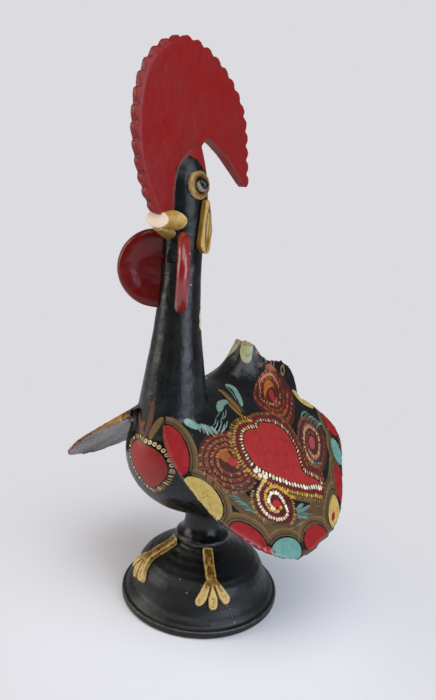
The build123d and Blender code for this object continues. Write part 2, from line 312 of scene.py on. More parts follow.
def add(tree, kind, inputs=(), **settings):
    """One shader node with its settings; an input is a value or another node's output."""
    node = tree.nodes.new("ShaderNode" + kind)
    for name, value in settings.items():
        setattr(node, name, value)
    for socket, value in dict(inputs).items():
        if isinstance(value, bpy.types.NodeSocket):
            tree.links.new(value, node.inputs[socket])
        else:
            node.inputs[socket].default_value = value
    return node


def new_finish(name):
    """An empty material and its node tree."""
    material = bpy.data.materials.new(name)
    material.use_nodes = True
    material.node_tree.nodes.clear()
    return material, material.node_tree


def per_mm(size_mm):
    """The texture scale that gives marks of a size in millimetres."""
    return 1.0 / (size_mm * MM)


def rgba(colour):
    """A three-part linear colour with full alpha."""
    return list(colour)[:3] + [1.0]


ENAMEL_SHINE = 0.36
BLACK_GLOSS = (0.16, 0.36)
# sizes in mm of the enamel's cloudy patches, grit, dents and flakes
CLOUD_MM = 38
GRIT_MM = 1.1
DENT_MM = 11
FLAKE_MM = 4.2


def brushed_enamel(
        name, coats, roughness, streak_mm, stretch, wash, wear, chips, mask=None, shine=ENAMEL_SHINE):
    """Oil enamel brushed on fired clay: streaks, a wash in the hollows, worn edges and chips to the clay.

    coats is one set of colours (thick, thin, hollow, worn), or two sets that the attribute mask divides;
    roughness is one range for each set. wash is where it starts, where it is full and its strength, and wear
    is where it starts, how ragged it is and its strength, with places in mm that a point stands out. chips is
    the level of the noise above which the paint is gone.
    """
    material, tree = new_finish(name)
    clay = rgba(bpy.context.scene.rooster_paint.clay)
    place = add(tree, "TexCoord").outputs["Object"]
    if mask:
        edge = add(tree, "Attribute", attribute_name=mask).outputs["Fac"]
        side = add(tree, "MapRange", {"Value": edge, "From Min": -0.25, "From Max": 0.25}).outputs[0]
        colours = [
            add(tree, "Mix", {0: side, 6: rgba(first), 7: rgba(second)}, data_type="RGBA").outputs[2]
            for first, second in zip(*coats)
        ]
        smoothest, roughest = [
            add(tree, "Mix", {0: side, 2: first, 3: second}, data_type="FLOAT").outputs[0]
            for first, second in zip(*roughness)
        ]
    else:
        colours = [rgba(colour) for colour in coats[0]]
        smoothest, roughest = roughness[0]
    drawn = add(tree, "Mapping", {"Vector": place, "Scale": stretch}).outputs[0]
    streak = add(tree, "TexNoise", {
        "Vector": drawn, "Scale": per_mm(streak_mm), "Detail": 5.0, "Roughness": 0.6}).outputs[0]
    cloud = add(tree, "TexNoise", {"Vector": place, "Scale": per_mm(CLOUD_MM), "Detail": 3.0}).outputs[0]
    grit = add(tree, "TexNoise", {"Vector": place, "Scale": per_mm(GRIT_MM), "Detail": 2.0}).outputs[0]
    dents = add(tree, "TexNoise", {"Vector": place, "Scale": per_mm(DENT_MM), "Detail": 2.0}).outputs[0]
    flake = add(tree, "TexNoise", {
        "Vector": place, "Scale": per_mm(FLAKE_MM), "Detail": 4.0, "Roughness": 0.65}).outputs[0]
    # thick and thin paint
    mottle = add(tree, "Math", {0: streak, 1: cloud}, operation="ADD").outputs[0]
    thin = add(tree, "MapRange", {"Value": mottle, "From Min": 0.75, "From Max": 1.3}).outputs[0]
    body = add(tree, "Mix", {0: thin, 6: colours[0], 7: colours[1]}, data_type="RGBA").outputs[2]
    # the wash that stays in the hollows
    form = add(tree, "Attribute", attribute_name="stand_out").outputs["Fac"]
    ragged = add(tree, "MapRange", {"Value": flake, "To Min": -0.5, "To Max": 0.5}).outputs[0]
    settled = add(tree, "Math", {0: ragged, 1: 0.3, 2: form}, operation="MULTIPLY_ADD").outputs[0]
    low = add(tree, "MapRange", {
        "Value": settled, "From Min": wash[0], "From Max": wash[1], "To Max": wash[2]}).outputs[0]
    body = add(tree, "Mix", {0: low, 6: body, 7: colours[2]}, data_type="RGBA").outputs[2]
    # the edges that are rubbed; on the reds their pink tone is also a painted highlight
    rubbed = add(tree, "Math", {0: ragged, 1: wear[1], 2: form}, operation="MULTIPLY_ADD").outputs[0]
    bare_at = wear[0] + wear[1] * 0.6
    high = add(tree, "MapRange", {
        "Value": rubbed, "From Min": wear[0], "From Max": bare_at, "To Max": wear[2]}).outputs[0]
    body = add(tree, "Mix", {0: high, 6: body, 7: colours[3]}, data_type="RGBA").outputs[2]
    # the chips
    lost = add(tree, "Math", {0: cloud, 1: 0.35, 2: flake}, operation="MULTIPLY_ADD").outputs[0]
    chip = add(tree, "MapRange", {"Value": lost, "From Min": chips, "From Max": chips + 0.012}).outputs[0]
    body = add(tree, "Mix", {0: chip, 6: body, 7: clay}, data_type="RGBA").outputs[2]
    # gloss and relief
    gloss = add(tree, "MapRange", {
        "Value": mottle, "From Min": 0.7, "From Max": 1.35,
        "To Min": smoothest, "To Max": roughest}).outputs[0]
    relief = add(tree, "Math", {0: streak, 1: 1.6, 2: grit}, operation="MULTIPLY_ADD").outputs[0]
    relief = add(tree, "Math", {0: dents, 1: 7.0, 2: relief}, operation="MULTIPLY_ADD").outputs[0]
    worn_relief = add(tree, "Math", {0: chip, 1: -2.0, 2: relief}, operation="MULTIPLY_ADD").outputs[0]
    normal = add(tree, "Bump", {"Height": worn_relief, "Strength": 0.6, "Distance": 0.2 * MM}).outputs[0]
    shader = add(tree, "BsdfPrincipled", {
        "Base Color": body, "Roughness": gloss, "Normal": normal, "Specular IOR Level": shine})
    add(tree, "OutputMaterial", {"Surface": shader.outputs[0]})
    return material


def black_coat():
    """The black's four colours, a shade lighter where it is thin and dusty grey where edges are rubbed."""
    paint = bpy.context.scene.rooster_paint
    return [paint.black, paint.black_thin, paint.black, linear("#5b5650")]


def black_enamel(name, streak_mm, stretch, chips, wear, gloss=BLACK_GLOSS):
    """Glossy black: nearly no colour of its own, long window reflections and a few pale chips."""
    return brushed_enamel(
        name, [black_coat()], [gloss], streak_mm, stretch, (-0.2, -0.6, 0.5), wear, chips)


def red_coat(depth=1.0):
    """The comb's red, dark in its hollows and pinkish on its edges, partly rubbed paint and partly a painted
    highlight.

    depth scales the brightness of all but the rubbed tone; below 1, on the right wattle, it is painted shade.
    """
    paint = bpy.context.scene.rooster_paint
    tones = [paint.red, paint.red_thin, linear("#4a0d10")]
    return [[depth * part for part in tone[:3]] for tone in tones] + [linear("#9a4440")]


def red_enamel(name, depth, shine):
    """Satin red with drawn streaks, a shade browner where it is thin, and pink on its edges as wear and as a
    painted highlight.
    """
    return brushed_enamel(
        name, [red_coat(depth)], [(0.12, 0.3)], 9, (1, 1, 0.35),
        (-0.05, -0.35, 0.8), (0.16, 0.22, 0.7), 0.88, shine=shine)


def ochre_coat(depth):
    """The ochre's four colours; depth scales their brightness, so that some pieces are darker than others."""
    paint = bpy.context.scene.rooster_paint
    tones = [paint.ochre, linear("#8c6527"), paint.brown, linear("#d0b470")]
    return [[depth * part for part in tone[:3]] for tone in tones]


def ochre_enamel(name, wash, depth=1.0):
    """Ochre with a brown wash wiped back from the high parts, so the brown stays in every hollow."""
    return brushed_enamel(
        name, [ochre_coat(depth)], [(0.24, 0.44)], 3.2, (1, 1, 0.5), wash, (0.12, 0.2, 0.7), 0.9)


def fired_clay(name):
    """Bare fired clay: pale, matt, slightly pink, with sandy grain."""
    material, tree = new_finish(name)
    place = add(tree, "TexCoord").outputs["Object"]
    sand = add(tree, "TexNoise", {"Vector": place, "Scale": per_mm(0.9), "Detail": 3.0}).outputs[0]
    stain = add(tree, "TexNoise", {"Vector": place, "Scale": per_mm(14), "Detail": 3.0}).outputs[0]
    mix = add(tree, "Math", {0: sand, 1: 0.5, 2: stain}, operation="MULTIPLY_ADD").outputs[0]
    tone = add(tree, "MapRange", {"Value": mix, "From Min": 0.55, "From Max": 1.0}).outputs[0]
    pale = rgba(bpy.context.scene.rooster_paint.clay)
    body = add(tree, "Mix", {0: tone, 6: linear("#e0bfa4"), 7: pale}, data_type="RGBA").outputs[2]
    normal = add(tree, "Bump", {"Height": sand, "Strength": 0.7, "Distance": 0.2 * MM}).outputs[0]
    shader = add(tree, "BsdfPrincipled", {"Base Color": body, "Roughness": 0.85, "Normal": normal})
    add(tree, "OutputMaterial", {"Surface": shader.outputs[0]})
    return material


def pattern_enamel():
    """The brushwork's enamel: each mark keeps its own colour, streaked and dulled a little by age."""
    material, tree = new_finish("Brushed pattern enamel")
    place = add(tree, "TexCoord").outputs["Object"]
    colour = add(tree, "Attribute", attribute_name="paint").outputs["Color"]
    streak = add(tree, "TexNoise", {
        "Vector": place, "Scale": per_mm(6), "Detail": 5.0, "Roughness": 0.65}).outputs[0]
    fine = add(tree, "TexNoise", {"Vector": place, "Scale": per_mm(1.3), "Detail": 3.0}).outputs[0]
    age = add(tree, "Math", {0: streak, 1: 1.6, 2: fine}, operation="MULTIPLY_ADD").outputs[0]
    shade = add(tree, "MapRange", {
        "Value": age, "From Min": 0.95, "From Max": 1.65, "To Min": 0.74, "To Max": 1.08}).outputs[0]
    body = add(tree, "VectorMath", {0: colour, 3: shade}, operation="SCALE").outputs[0]
    gloss = add(tree, "MapRange", {
        "Value": age, "From Min": 0.9, "From Max": 1.7, "To Min": 0.3, "To Max": 0.5}).outputs[0]
    normal = add(tree, "Bump", {"Height": age, "Strength": 0.5, "Distance": 0.08 * MM}).outputs[0]
    shader = add(tree, "BsdfPrincipled", {
        "Base Color": body, "Roughness": gloss, "Normal": normal, "Specular IOR Level": ENAMEL_SHINE})
    add(tree, "OutputMaterial", {"Surface": shader.outputs[0]})
    return material


# Brushwork

def drawn_line(points, step, closed=False):
    """A smooth line through points, with evenly spaced steps in millimetres."""
    knots = np.asarray(points, float)
    if closed:
        knots = np.vstack([knots[-1], knots, knots[:2]])
    else:
        knots = np.vstack([2 * knots[0] - knots[1], knots, 2 * knots[-1] - knots[-2]])
    pieces = []
    share = np.linspace(0, 1, 12, endpoint=False)[:, None]
    for a, b, c, d in zip(knots, knots[1:], knots[2:], knots[3:]):
        pieces.append(0.5 * (2 * b + (c - a) * share + (2 * a - 5 * b + 4 * c - d) * share ** 2
                             + (3 * b - a - 3 * c + d) * share ** 3))
    line = np.vstack(pieces + [knots[-2][None]])
    length = np.concatenate([[0], np.cumsum(np.linalg.norm(np.diff(line, axis=0), axis=1))])
    count = max(int(round(length[-1] / step)), 3)
    even = np.linspace(0, length[-1], count + 1)
    line = np.stack([np.interp(even, length, line[:, axis]) for axis in (0, 1)], axis=1)
    return line[:-1] if closed else line


def tilted(centre, u, v, tilt):
    """Points at u and v from a centre, tilted in degrees."""
    turn = math.radians(tilt)
    return np.stack([centre[0] + u * math.cos(turn) - v * math.sin(turn),
                     centre[1] + u * math.sin(turn) + v * math.cos(turn)], axis=1)


def ellipse(centre, half, tilt=0.0, sweep=360.0):
    """Points round an ellipse, or along a part of one, with angles in degrees."""
    whole = sweep == 360.0
    angle = np.radians(np.linspace(0, sweep, 24 if whole else 25, endpoint=not whole))
    return tilted(centre, half[0] * np.cos(angle), half[1] * np.sin(angle), tilt)


def spiral(centre, start, sweep, first, last, squash=1.0, tilt=0.0):
    """Points along a spiral from a first to a last radius, angles in degrees."""
    share = np.linspace(0, 1, max(int(abs(sweep) / 18), 4))
    angle = np.radians(start + sweep * share)
    radius = first + (last - first) * share
    return tilted(centre, radius * np.cos(angle), radius * np.sin(angle) * squash, tilt)


def beside(line, distance, closed=True):
    """A line at a distance outside an anticlockwise one."""
    if closed:
        along = np.roll(line, -1, axis=0) - np.roll(line, 1, axis=0)
    else:
        along = np.gradient(line, axis=0)
    along /= np.maximum(np.linalg.norm(along, axis=1, keepdims=True), 1e-9)
    return line + distance * np.stack([along[:, 1], -along[:, 0]], axis=1)


def inside_outline(points, outline):
    """Which points lie inside a closed outline."""
    following = np.roll(outline, -1, axis=0)
    crosses = (outline[:, 1] > points[:, None, 1]) != (following[:, 1] > points[:, None, 1])
    rise = np.where(following[:, 1] == outline[:, 1], 1e-9, following[:, 1] - outline[:, 1])
    cut = outline[:, 0] + (points[:, None, 1] - outline[:, 1]) / rise * (following[:, 0] - outline[:, 0])
    return (crosses & (points[:, None, 0] < cut)).sum(axis=1) % 2 == 1


class Brushwork:
    """Marks painted on a chart in millimetres, then laid on the clay as thin raised paint.

    Heights and layers count in thicknesses of one brush mark.
    """

    # steps, gaps and widths in mm on the chart
    outline_step = 1.1
    grid_gap = 0.9
    edge_width = 2.2
    stroke_step = 1.3
    band_step = 4.0
    # heights at the edge of fills and dabs, at that of strokes and in a dab's middle, and the marks' depth
    edge_height = 0.3
    stroke_edge = 0.25
    dab_height = 1.8
    mark_depth = 2.2
    least_taper = 0.06
    dab_corners = 8
    halvings = 8
    # how far the brightness of fills, strokes and dabs may be off, out of 1
    fill_vary = 0.03
    stroke_vary = 0.08
    dab_vary = 0.14

    def __init__(self, place, seed, reach=1.6):
        self.place = place
        self.reach = reach
        self.keep_out = []
        self.random = random.Random(seed)
        self.points, self.faces, self.colours = [], [], []

    def mark(self, points, faces, colour, vary):
        """Adds one mark; a point is (u, v, height)."""
        first = len(self.points)
        bright = 1 + self.random.uniform(-vary, vary)
        shade = [min(c * bright, 1.0) for c in linear(colour)[:3]] + [1.0]
        self.points.extend(points)
        self.faces.extend([[first + i for i in face] for face in faces])
        self.colours.extend([shade] * len(points))

    def free(self, points):
        """Which points lie outside the shapes that a mark has to go round."""
        free = np.ones(len(points), dtype=bool)
        for outline in self.keep_out:
            free &= ~inside_outline(points, outline)
        return free

    def pull_in(self, outline):
        """Draws the points that hang over the rim back to it, towards the shape's middle."""
        middle = outline.mean(axis=0)
        on = self.place(outline)[2] < self.reach
        low, high = np.zeros(len(outline)), np.ones(len(outline))
        for _ in range(self.halvings):
            share = (low + high) / 2
            good = self.place(middle + (outline - middle) * share[:, None])[2] < self.reach
            low, high = np.where(good, share, low), np.where(good, high, share)
        return np.where(on[:, None], outline, middle + (outline - middle) * low[:, None])

    def fill(self, outline, colour, layer=0.0, step=2.6):
        """A filled shape, thinner at its edge."""
        outline = self.pull_in(drawn_line(outline, self.outline_step, closed=True))
        low, high = outline.min(axis=0), outline.max(axis=0)
        grid = np.mgrid[low[0]:high[0]:step, low[1]:high[1]:step].reshape(2, -1).T
        gap = np.linalg.norm(grid[:, None] - outline[None], axis=2).min(axis=1)
        inside = inside_outline(grid, outline) & (gap > self.grid_gap)
        grid, gap = grid[inside], gap[inside]
        count = len(outline)
        points = [Vector(p) for p in np.vstack([outline, grid])]
        rim = [(i, (i + 1) % count) for i in range(count)]
        # the fourth value keeps only the triangles inside the rim
        flat = delaunay_2d_cdt(points, rim, [], 1, 1e-5)
        rise = (1 - self.edge_height) * np.minimum(gap / self.edge_width, 1)
        heights = layer + self.edge_height + np.concatenate([np.zeros(count), rise])
        sources = [origin[0] if origin else 0 for origin in flat[3]]
        points = [(*point, heights[i]) for point, i in zip(flat[0], sources)]
        self.mark(points, flat[2], colour, self.fill_vary)

    def band(self, line, width, colour, layer=0.0):
        """A broad even strip along a line."""
        line = drawn_line(line, self.band_step)
        near, far = beside(line, width / 2, False), beside(line, -width / 2, False)
        self.fill(np.vstack([near, far[::-1]]), colour, layer)

    def stroke(self, line, width, colour, layer=0.0, taper=(1.0, 1.0)):
        """A brush stroke, thickest in its middle; taper is its width at each end."""
        line = drawn_line(line, self.stroke_step)
        on = (self.place(line)[2] < self.reach) & self.free(line)
        run = []
        for point, good in list(zip(line, on)) + [(None, False)]:
            if good:
                run.append(point)
                continue
            if len(run) > 2:
                self.ribbon(np.array(run), width, colour, layer, taper)
            run = []

    def ribbon(self, line, width, colour, layer, taper):
        """One unbroken stroke as a strip of three rows."""
        share = np.linspace(0, 1, len(line))
        swell = np.sin(np.pi * share) ** 0.5
        ends = taper[0] + (taper[1] - taper[0]) * share
        wobble = np.array([self.random.uniform(0.93, 1.07) for _ in line])
        half = width / 2 * np.maximum(ends + (1 - ends) * swell, self.least_taper) * wobble
        aside = (beside(line, 1, False) - line) * half[:, None]
        edge = layer + self.stroke_edge
        points = []
        for at, reach in zip(line, aside):
            points += [(*(at - reach), edge), (*at, layer + 1.0), (*(at + reach), edge)]
        faces = []
        for i in range(len(line) - 1):
            a, b = 3 * i, 3 * i + 3
            faces += [(a, a + 1, b + 1, b), (a + 1, a + 2, b + 2, b + 1)]
        self.mark(points, faces, colour, self.stroke_vary)

    def dab(self, at, length, width, angle, colour, layer):
        """One dab of a loaded brush."""
        here = np.array([at])
        if self.place(here)[2][0] > self.reach or not self.free(here)[0]:
            return
        turn = np.arange(self.dab_corners) * (2 * math.pi / self.dab_corners)
        rim = tilted(at, length / 2 * np.cos(turn), width / 2 * np.sin(turn), math.degrees(angle))
        points = [(*at, layer + self.dab_height)] + [(*corner, layer + self.edge_height) for corner in rim]
        corners = range(1, self.dab_corners + 1)
        self.mark(points, [(0, i, i % self.dab_corners + 1) for i in corners], colour, self.dab_vary)

    def dabs(self, line, length, width, pitch, colours, layer, lean=12.0):
        """A row of dabs set across a line, leaning by an angle in degrees."""
        line = drawn_line(line, pitch)
        along = np.gradient(line, axis=0)
        for i, (at, way) in enumerate(zip(line, along)):
            size = self.random.uniform(0.85, 1.12)
            across = math.atan2(way[1], way[0]) + math.pi / 2
            angle = across + math.radians(lean + self.random.uniform(-9, 9))
            nudge = np.array([self.random.uniform(-0.25, 0.25), self.random.uniform(-0.25, 0.25)])
            self.dab(at + nudge, length * size, width * size, angle, colours[i % len(colours)], layer)

    def lay(self, name, finish, flip=False):
        """Lays every mark on the clay as one closed thin piece."""
        height = bpy.context.scene.rooster_paint.paint_height
        chart = np.array(self.points)
        points, normals, _ = self.place(chart[:, :2])
        points = points + normals * (chart[:, 2:] * height)
        mesh = bpy.data.meshes.new(name)
        faces = [face[::-1] for face in self.faces] if flip else self.faces
        mesh.from_pydata(points.tolist(), [], faces)
        attribute = mesh.attributes.new("paint", "FLOAT_COLOR", "POINT")
        attribute.data.foreach_set("color", np.array(self.colours, dtype=np.float32).ravel())
        piece = bpy.data.objects.new(name, mesh)
        bpy.context.scene.collection.objects.link(piece)
        apply_modifier(piece, "SOLIDIFY", thickness=self.mark_depth * height, offset=-1.0)
        finish_piece(piece, finish)


RED, CHEST_RED, RIM_RED = "#9c2423", "#92241f", "#8f1516"
MAROON, WINE = "#4f1113", "#5f1719"
RUST, OCHRE, YELLOW = "#84441f", "#a07a34", "#c59a3c"
CREAM, WHITE, PEACH = "#cdb988", "#e6dcc4", "#aa7c50"
OLIVE, GOLD = "#5e4627", "#7a5c2a"
TEAL, TURQUOISE, PALE_GREEN, PALE_YELLOW = "#629186", "#6b8a7a", "#96966f", "#b59b54"

HEART_STEP = 1.4
HEART = [
    (60.5, -5), (58.8, -13), (58.5, -18), (61, -23), (66, -27), (73, -29.5), (80, -30), (86, -28.5),
    (91, -25), (97, -20), (103, -13.5), (109, -6), (114.4, 3), (118.1, 10), (121.6, 17.1), (127.8, 23.2),
    (129.2, 24.6), (127.2, 24.2), (122.2, 21.6), (116.2, 17.6), (111.5, 13.6), (106.2, 12.1), (100.2, 14.1),
    (95.2, 17.1), (90, 19.1), (84, 20.2), (77, 20.2), (70.2, 17.8), (63.5, 13.8), (60, 8.2), (57.4, 3.1),
    (56.8, 0), (58, -3),
]
HEART_TOP = (84, -30)
HEART_TIP = (128.8, 24.4)
RIM_SCALLOPS = [
    ((45, -81), (21, 10.5), -19, RIM_RED), ((86, -84), (18.5, 12.5), 8, PALE_YELLOW),
    ((125, -69), (15.5, 8.5), 30, RIM_RED), ((148, -45), (9.5, 15), -15, TEAL),
    ((154, -11), (9.5, 14), 0, RIM_RED), ((152.5, 23), (8.6, 11), 0, PALE_YELLOW),
    ((159, 46.5), (8.4, 10), 0, RIM_RED), ((153.5, 65.5), (9.5, 6.5), -10, TEAL),
    ((140, 79), (12.5, 6.5), 0, RIM_RED),
]
# each border's distance outside its scallop, width, colour and layer
SCALLOP_BORDERS = [(4.4, 6.2, OLIVE, 0.4), (6.2, 1.3, "#6c5830", 0.8), (2.9, 1.0, "#2a2417", 0.8)]
SCALLOP_GAP = 2.6
SPECKS = 70
INNER_RIM = [
    (62, -73), (88, -61), (106, -56), (124, -46), (135, -28), (139, -6), (135.5, 16), (146.8, 36), (152, 54),
    (142, 67),
]


def paint_ground(brush):
    """Dark olive ground along the rim with short brush strokes in it, under the scallops and leaves."""
    brush.band(INNER_RIM, 15, "#553e20", -0.2)
    for i, at in enumerate(drawn_line(INNER_RIM, 3.0)):
        start = at + np.array([brush.random.uniform(-7, 5), brush.random.uniform(-5, 3)])
        reach = np.array([brush.random.uniform(0, 5), brush.random.uniform(5, 9)])
        colour = ["#6f693c", "#4f6f66", "#5a5230", "#2b2a1c"][i % 4]
        brush.stroke([start, start + reach / 2 + (0.5, 0), start + reach], 1.6, colour, 0.1, (0.4, 0.2))


def paint_scallops(brush):
    """Half-round fields along the rim, each inside an olive border that stops at its neighbours."""
    fields = [ellipse(centre, np.add(half, SCALLOP_GAP), tilt) for centre, half, tilt, _ in RIM_SCALLOPS]
    for i, (centre, half, tilt, colour) in enumerate(RIM_SCALLOPS):
        brush.keep_out = [field for j, field in enumerate(fields) if j != i]
        for distance, width, border, layer in SCALLOP_BORDERS:
            band = ellipse(centre, np.add(half, distance), tilt)
            brush.stroke(np.vstack([band, band[:2]]), width, border, layer)
        brush.keep_out = []
        brush.fill(ellipse(centre, half, tilt), colour, 0.6, step=1.5)
    # a red drop on the small yellow field, a pale strip at the back and specks on the large yellow field
    brush.fill([(151.8, 15), (153.4, 19), (152, 23), (149.6, 21), (149.6, 18)], RIM_RED, 1.4)
    brush.fill([(86, 62), (95, 61.5), (104, 64), (116, 71), (112, 73), (100, 68), (90, 65)], PALE_YELLOW, 0.6)
    for _ in range(SPECKS):
        at = (brush.random.gauss(86, 7), brush.random.gauss(-82, 3.2))
        brush.dab(at, brush.random.uniform(0.6, 1.6), 0.5, brush.random.uniform(-0.4, 0.6), "#7d6a36", 1.4)


def closest(line, place):
    """The number of a line's closest point to a place."""
    return int(np.argmin(np.linalg.norm(line - place, axis=1)))


def paint_heart(brush):
    """The large heart with its rope of white dabs and the bands outside it."""
    edge = drawn_line(HEART, HEART_STEP, closed=True)
    at_top, at_tip = closest(edge, HEART_TOP), closest(edge, HEART_TIP)
    bands = [(12.2, 4.4, OLIVE, 0.0, at_top + 6, at_tip - 2), (8.4, 3.6, "#4a2a16", 0.1, 0, None),
             (4.9, 3.6, WINE, 0.5, 0, None)]
    for distance, width, colour, layer, first, last in bands:
        ring = beside(edge, distance)
        ring = ring[first:last] if last else np.vstack([ring, ring[:2]])
        brush.stroke(ring, width, colour, layer)
    brush.fill(HEART, RED, 0.6)
    rope, outer = beside(edge, 2.2), beside(edge, 8.5)
    brush.dabs(rope[at_top + 2:at_tip], 4.0, 2.3, 3.1, [WHITE, WHITE, CREAM], 1.4)
    brush.dabs(rope[at_tip:], 3.2, 1.6, 2.7, [PEACH, CREAM, PEACH], 1.4)
    brush.dabs(rope[:at_top], 3.4, 1.7, 2.7, [CREAM, PEACH, CREAM], 1.4)
    brush.dabs(outer[at_top:at_tip], 3.4, 1.9, 2.6, [YELLOW, OCHRE], 1.4, -20)
    brush.dabs(outer[at_tip:], 3.0, 1.5, 2.6, [RUST, GOLD], 1.4)
    brush.dabs(outer[:at_top], 3.4, 1.8, 2.6, ["#b98c3a", OCHRE], 1.4)
    brush.dabs(beside(edge, 11.6)[:at_top], 3.4, 1.8, 2.7, [OCHRE, GOLD, "#6b3a20"], 1.2, -15)
    brush.dabs(beside(edge, 12.0)[at_top + 8:at_tip], 2.0, 1.0, 2.8, [OCHRE, GOLD], 1.2)
    for at in [(88.5, -32.5), (93, -31), (96, -27.5)]:
        brush.dab(at, 4.4, 3.4, 0.6, WHITE, 1.8)


BRIGHT_FIELD = [
    (97.3, -28.9), (103.5, -23.3), (110.4, -17), (120.5, -16.6), (128.4, -19.6), (133.9, -26.1),
    (132.3, -35.3), (126.6, -43), (120.2, -49), (112, -51.6), (104.9, -47.5), (98.9, -38.8),
]
# each arm's line, then its dabs' length, width and pitch, their colours and the layer
BRIGHT_ARMS = [
    ([(99.5, -44), (103, -48), (107.6, -50.6), (112.6, -51.6), (117.4, -50.8), (122.5, -48.2)],
     3.0, 1.7, 2.0, [OCHRE, GOLD], 1.2),
    ([(119.5, -15.4), (124.1, -16.4), (129.4, -19.8), (133.4, -23.6), (134.6, -29)],
     3.0, 1.7, 2.0, [OCHRE, GOLD], 1.2),
    ([(120.8, -29), (121.6, -31.6), (121.1, -35.2), (118.7, -38.2), (115.2, -40.1), (111.5, -39.4),
      (107.9, -37.3), (105.1, -33.5), (104.2, -28), (105.2, -24.7), (108, -21.9), (112.1, -18.5),
      (116.7, -16.1), (120.2, -11.8)],
     3.0, 2.1, 2.0, [YELLOW, "#c08a2e", YELLOW], 1.3),
    ([(107.3, -44.2), (103.7, -42.1), (101.3, -38.7), (99.3, -34.4), (97.4, -29.8), (96.2, -27.2)],
     2.9, 2.0, 2.2, [CREAM, "#cfae5c"], 1.4),
    ([(127.7, -27.4), (128.3, -32.7), (126.3, -37.8), (123, -41.6), (118.7, -44.5), (114.1, -45.5),
      (109.6, -45.3)],
     2.9, 2.0, 2.3, [WHITE, CREAM, "#dcb896"], 1.5),
    ([(118.8, -35.8), (114.4, -37), (110.5, -35.6), (108.5, -30.7), (109.3, -27.2), (113.2, -24.5),
      (117.8, -24), (123.1, -24.5), (125.8, -25.4)],
     3.0, 2.1, 2.1, [WHITE, WHITE, CREAM], 1.6),
]
# the colours of the dull spirals, from the middle outwards
BREAST_ROPES = [
    "#a5682c", "#5a1c16", "#965a2a", "#6d231b", "#8a622f", "#611f19", "#98642f", "#5c1f18", "#86552b",
]
TAIL_ROPES = ["#6b1d15", "#9c6238", "#7a2218", "#85421f", "#6f1f16", "#945530", "#7c2f1c", "#8c4426"]
BACK_ROPES = ["#6d241c", "#8f5c42", "#5f2019", "#6b3a26", "#7d4a36"]
TAIL_ROWS = [
    [(49, 18), (60, 23), (70, 31), (79, 43), (82, 55)],
    [(54, 15.5), (66, 21.5), (77, 32), (86, 46), (87, 57)],
]
ROPE_LAYER = 1.1
ROPE_LEAN = 38.0


def paint_rings(brush, path, ropes, length, width, pitch):
    """A rope of dabs along a path, in parts whose colours follow one another."""
    line = drawn_line(path, pitch)
    for i, part in enumerate(np.array_split(line, len(ropes))):
        if len(part) > 3:
            colours = [ropes[i], ropes[i], ropes[i - 1]]
            brush.dabs(part, length, width, pitch, colours, ROPE_LAYER, ROPE_LEAN)


def paint_spirals(brush):
    """Four spirals of brush dabs, brightest beside the heart and dull towards the back."""
    front, back, side = (72, -47), (55.8, 35), (115.5, 42)
    brush.keep_out = [beside(drawn_line(HEART, HEART_STEP, closed=True), 6.5)]
    brush.fill(ellipse(front, (26, 24)), "#3f160f", 0.0)
    brush.fill(ellipse((62.5, 37), (34, 17.5), 37), "#43160e", 0.0)
    brush.fill(ellipse(side, (30, 16), 40), "#44201a", 0.1)
    brush.fill(BRIGHT_FIELD, MAROON, 0.3)
    # the dull spiral towards the breast
    paint_rings(brush, spiral(front, 20, 1440, 7.5, 25), BREAST_ROPES, 3.0, 1.6, 2.4)
    brush.stroke(spiral(front, 200, 1200, 8.5, 23), 1.1, "#7a3420", 0.9)
    brush.fill(ellipse((67, -48), (6, 4.2), 20), "#93501f", 1.2)
    brush.fill(ellipse((73.5, -45.5), (4.4, 3.4), 20), "#962c1f", 1.6)
    # the spiral on the tail
    paint_rings(brush, spiral((55.5, 36.5), 0, 1080, 10, 30, 0.5, 38), TAIL_ROPES, 3.0, 1.6, 2.4)
    for line in TAIL_ROWS:
        brush.dabs(line, 3.0, 1.7, 2.5, TAIL_ROPES[1:5], 1.0, ROPE_LEAN)
    brush.stroke([(40.9, 25.6), (37.9, 32.8), (44, 40.7), (53.8, 48.2), (61, 50.6), (68.3, 50.3)],
                 1.7, "#a3744f", 1.3, (0.5, 0.3))
    brush.dabs([(43, 22), (50, 24.5), (58, 30.5), (63, 38)], 1.8, 1.3, 3.4, [PEACH, "#c49a70"], 1.5)
    brush.stroke([(46.3, 26.6), (45.9, 33.5), (50.4, 39.9), (58.2, 44.4)], 4.6, "#a85d1e", 1.2, (0.2, 0.3))
    brush.fill(ellipse(back, (4.8, 4.2)), "#8a1f24", 1.4)
    # the long spiral at the back of the wing
    paint_rings(brush, spiral(side, 20, 900, 9, 29, 0.55, 42), BACK_ROPES, 2.9, 1.5, 2.2)
    brush.dabs(spiral(side, 200, 400, 12, 19, 0.55, 42), 3.2, 1.8, 2.3, [PEACH, "#c49a70"], 1.3)
    brush.fill(ellipse((114.5, 41.5), (7, 3.2), 42), "#9a3a3a", 1.4)
    # the bright spiral
    brush.keep_out = []
    for line, length, width, pitch, colours, layer in BRIGHT_ARMS:
        brush.dabs(line, length, width, pitch, colours, layer, 8)
    brush.fill(ellipse((116.8, -31.3), (2.8, 3.6), -40), "#b3251a", 1.6)


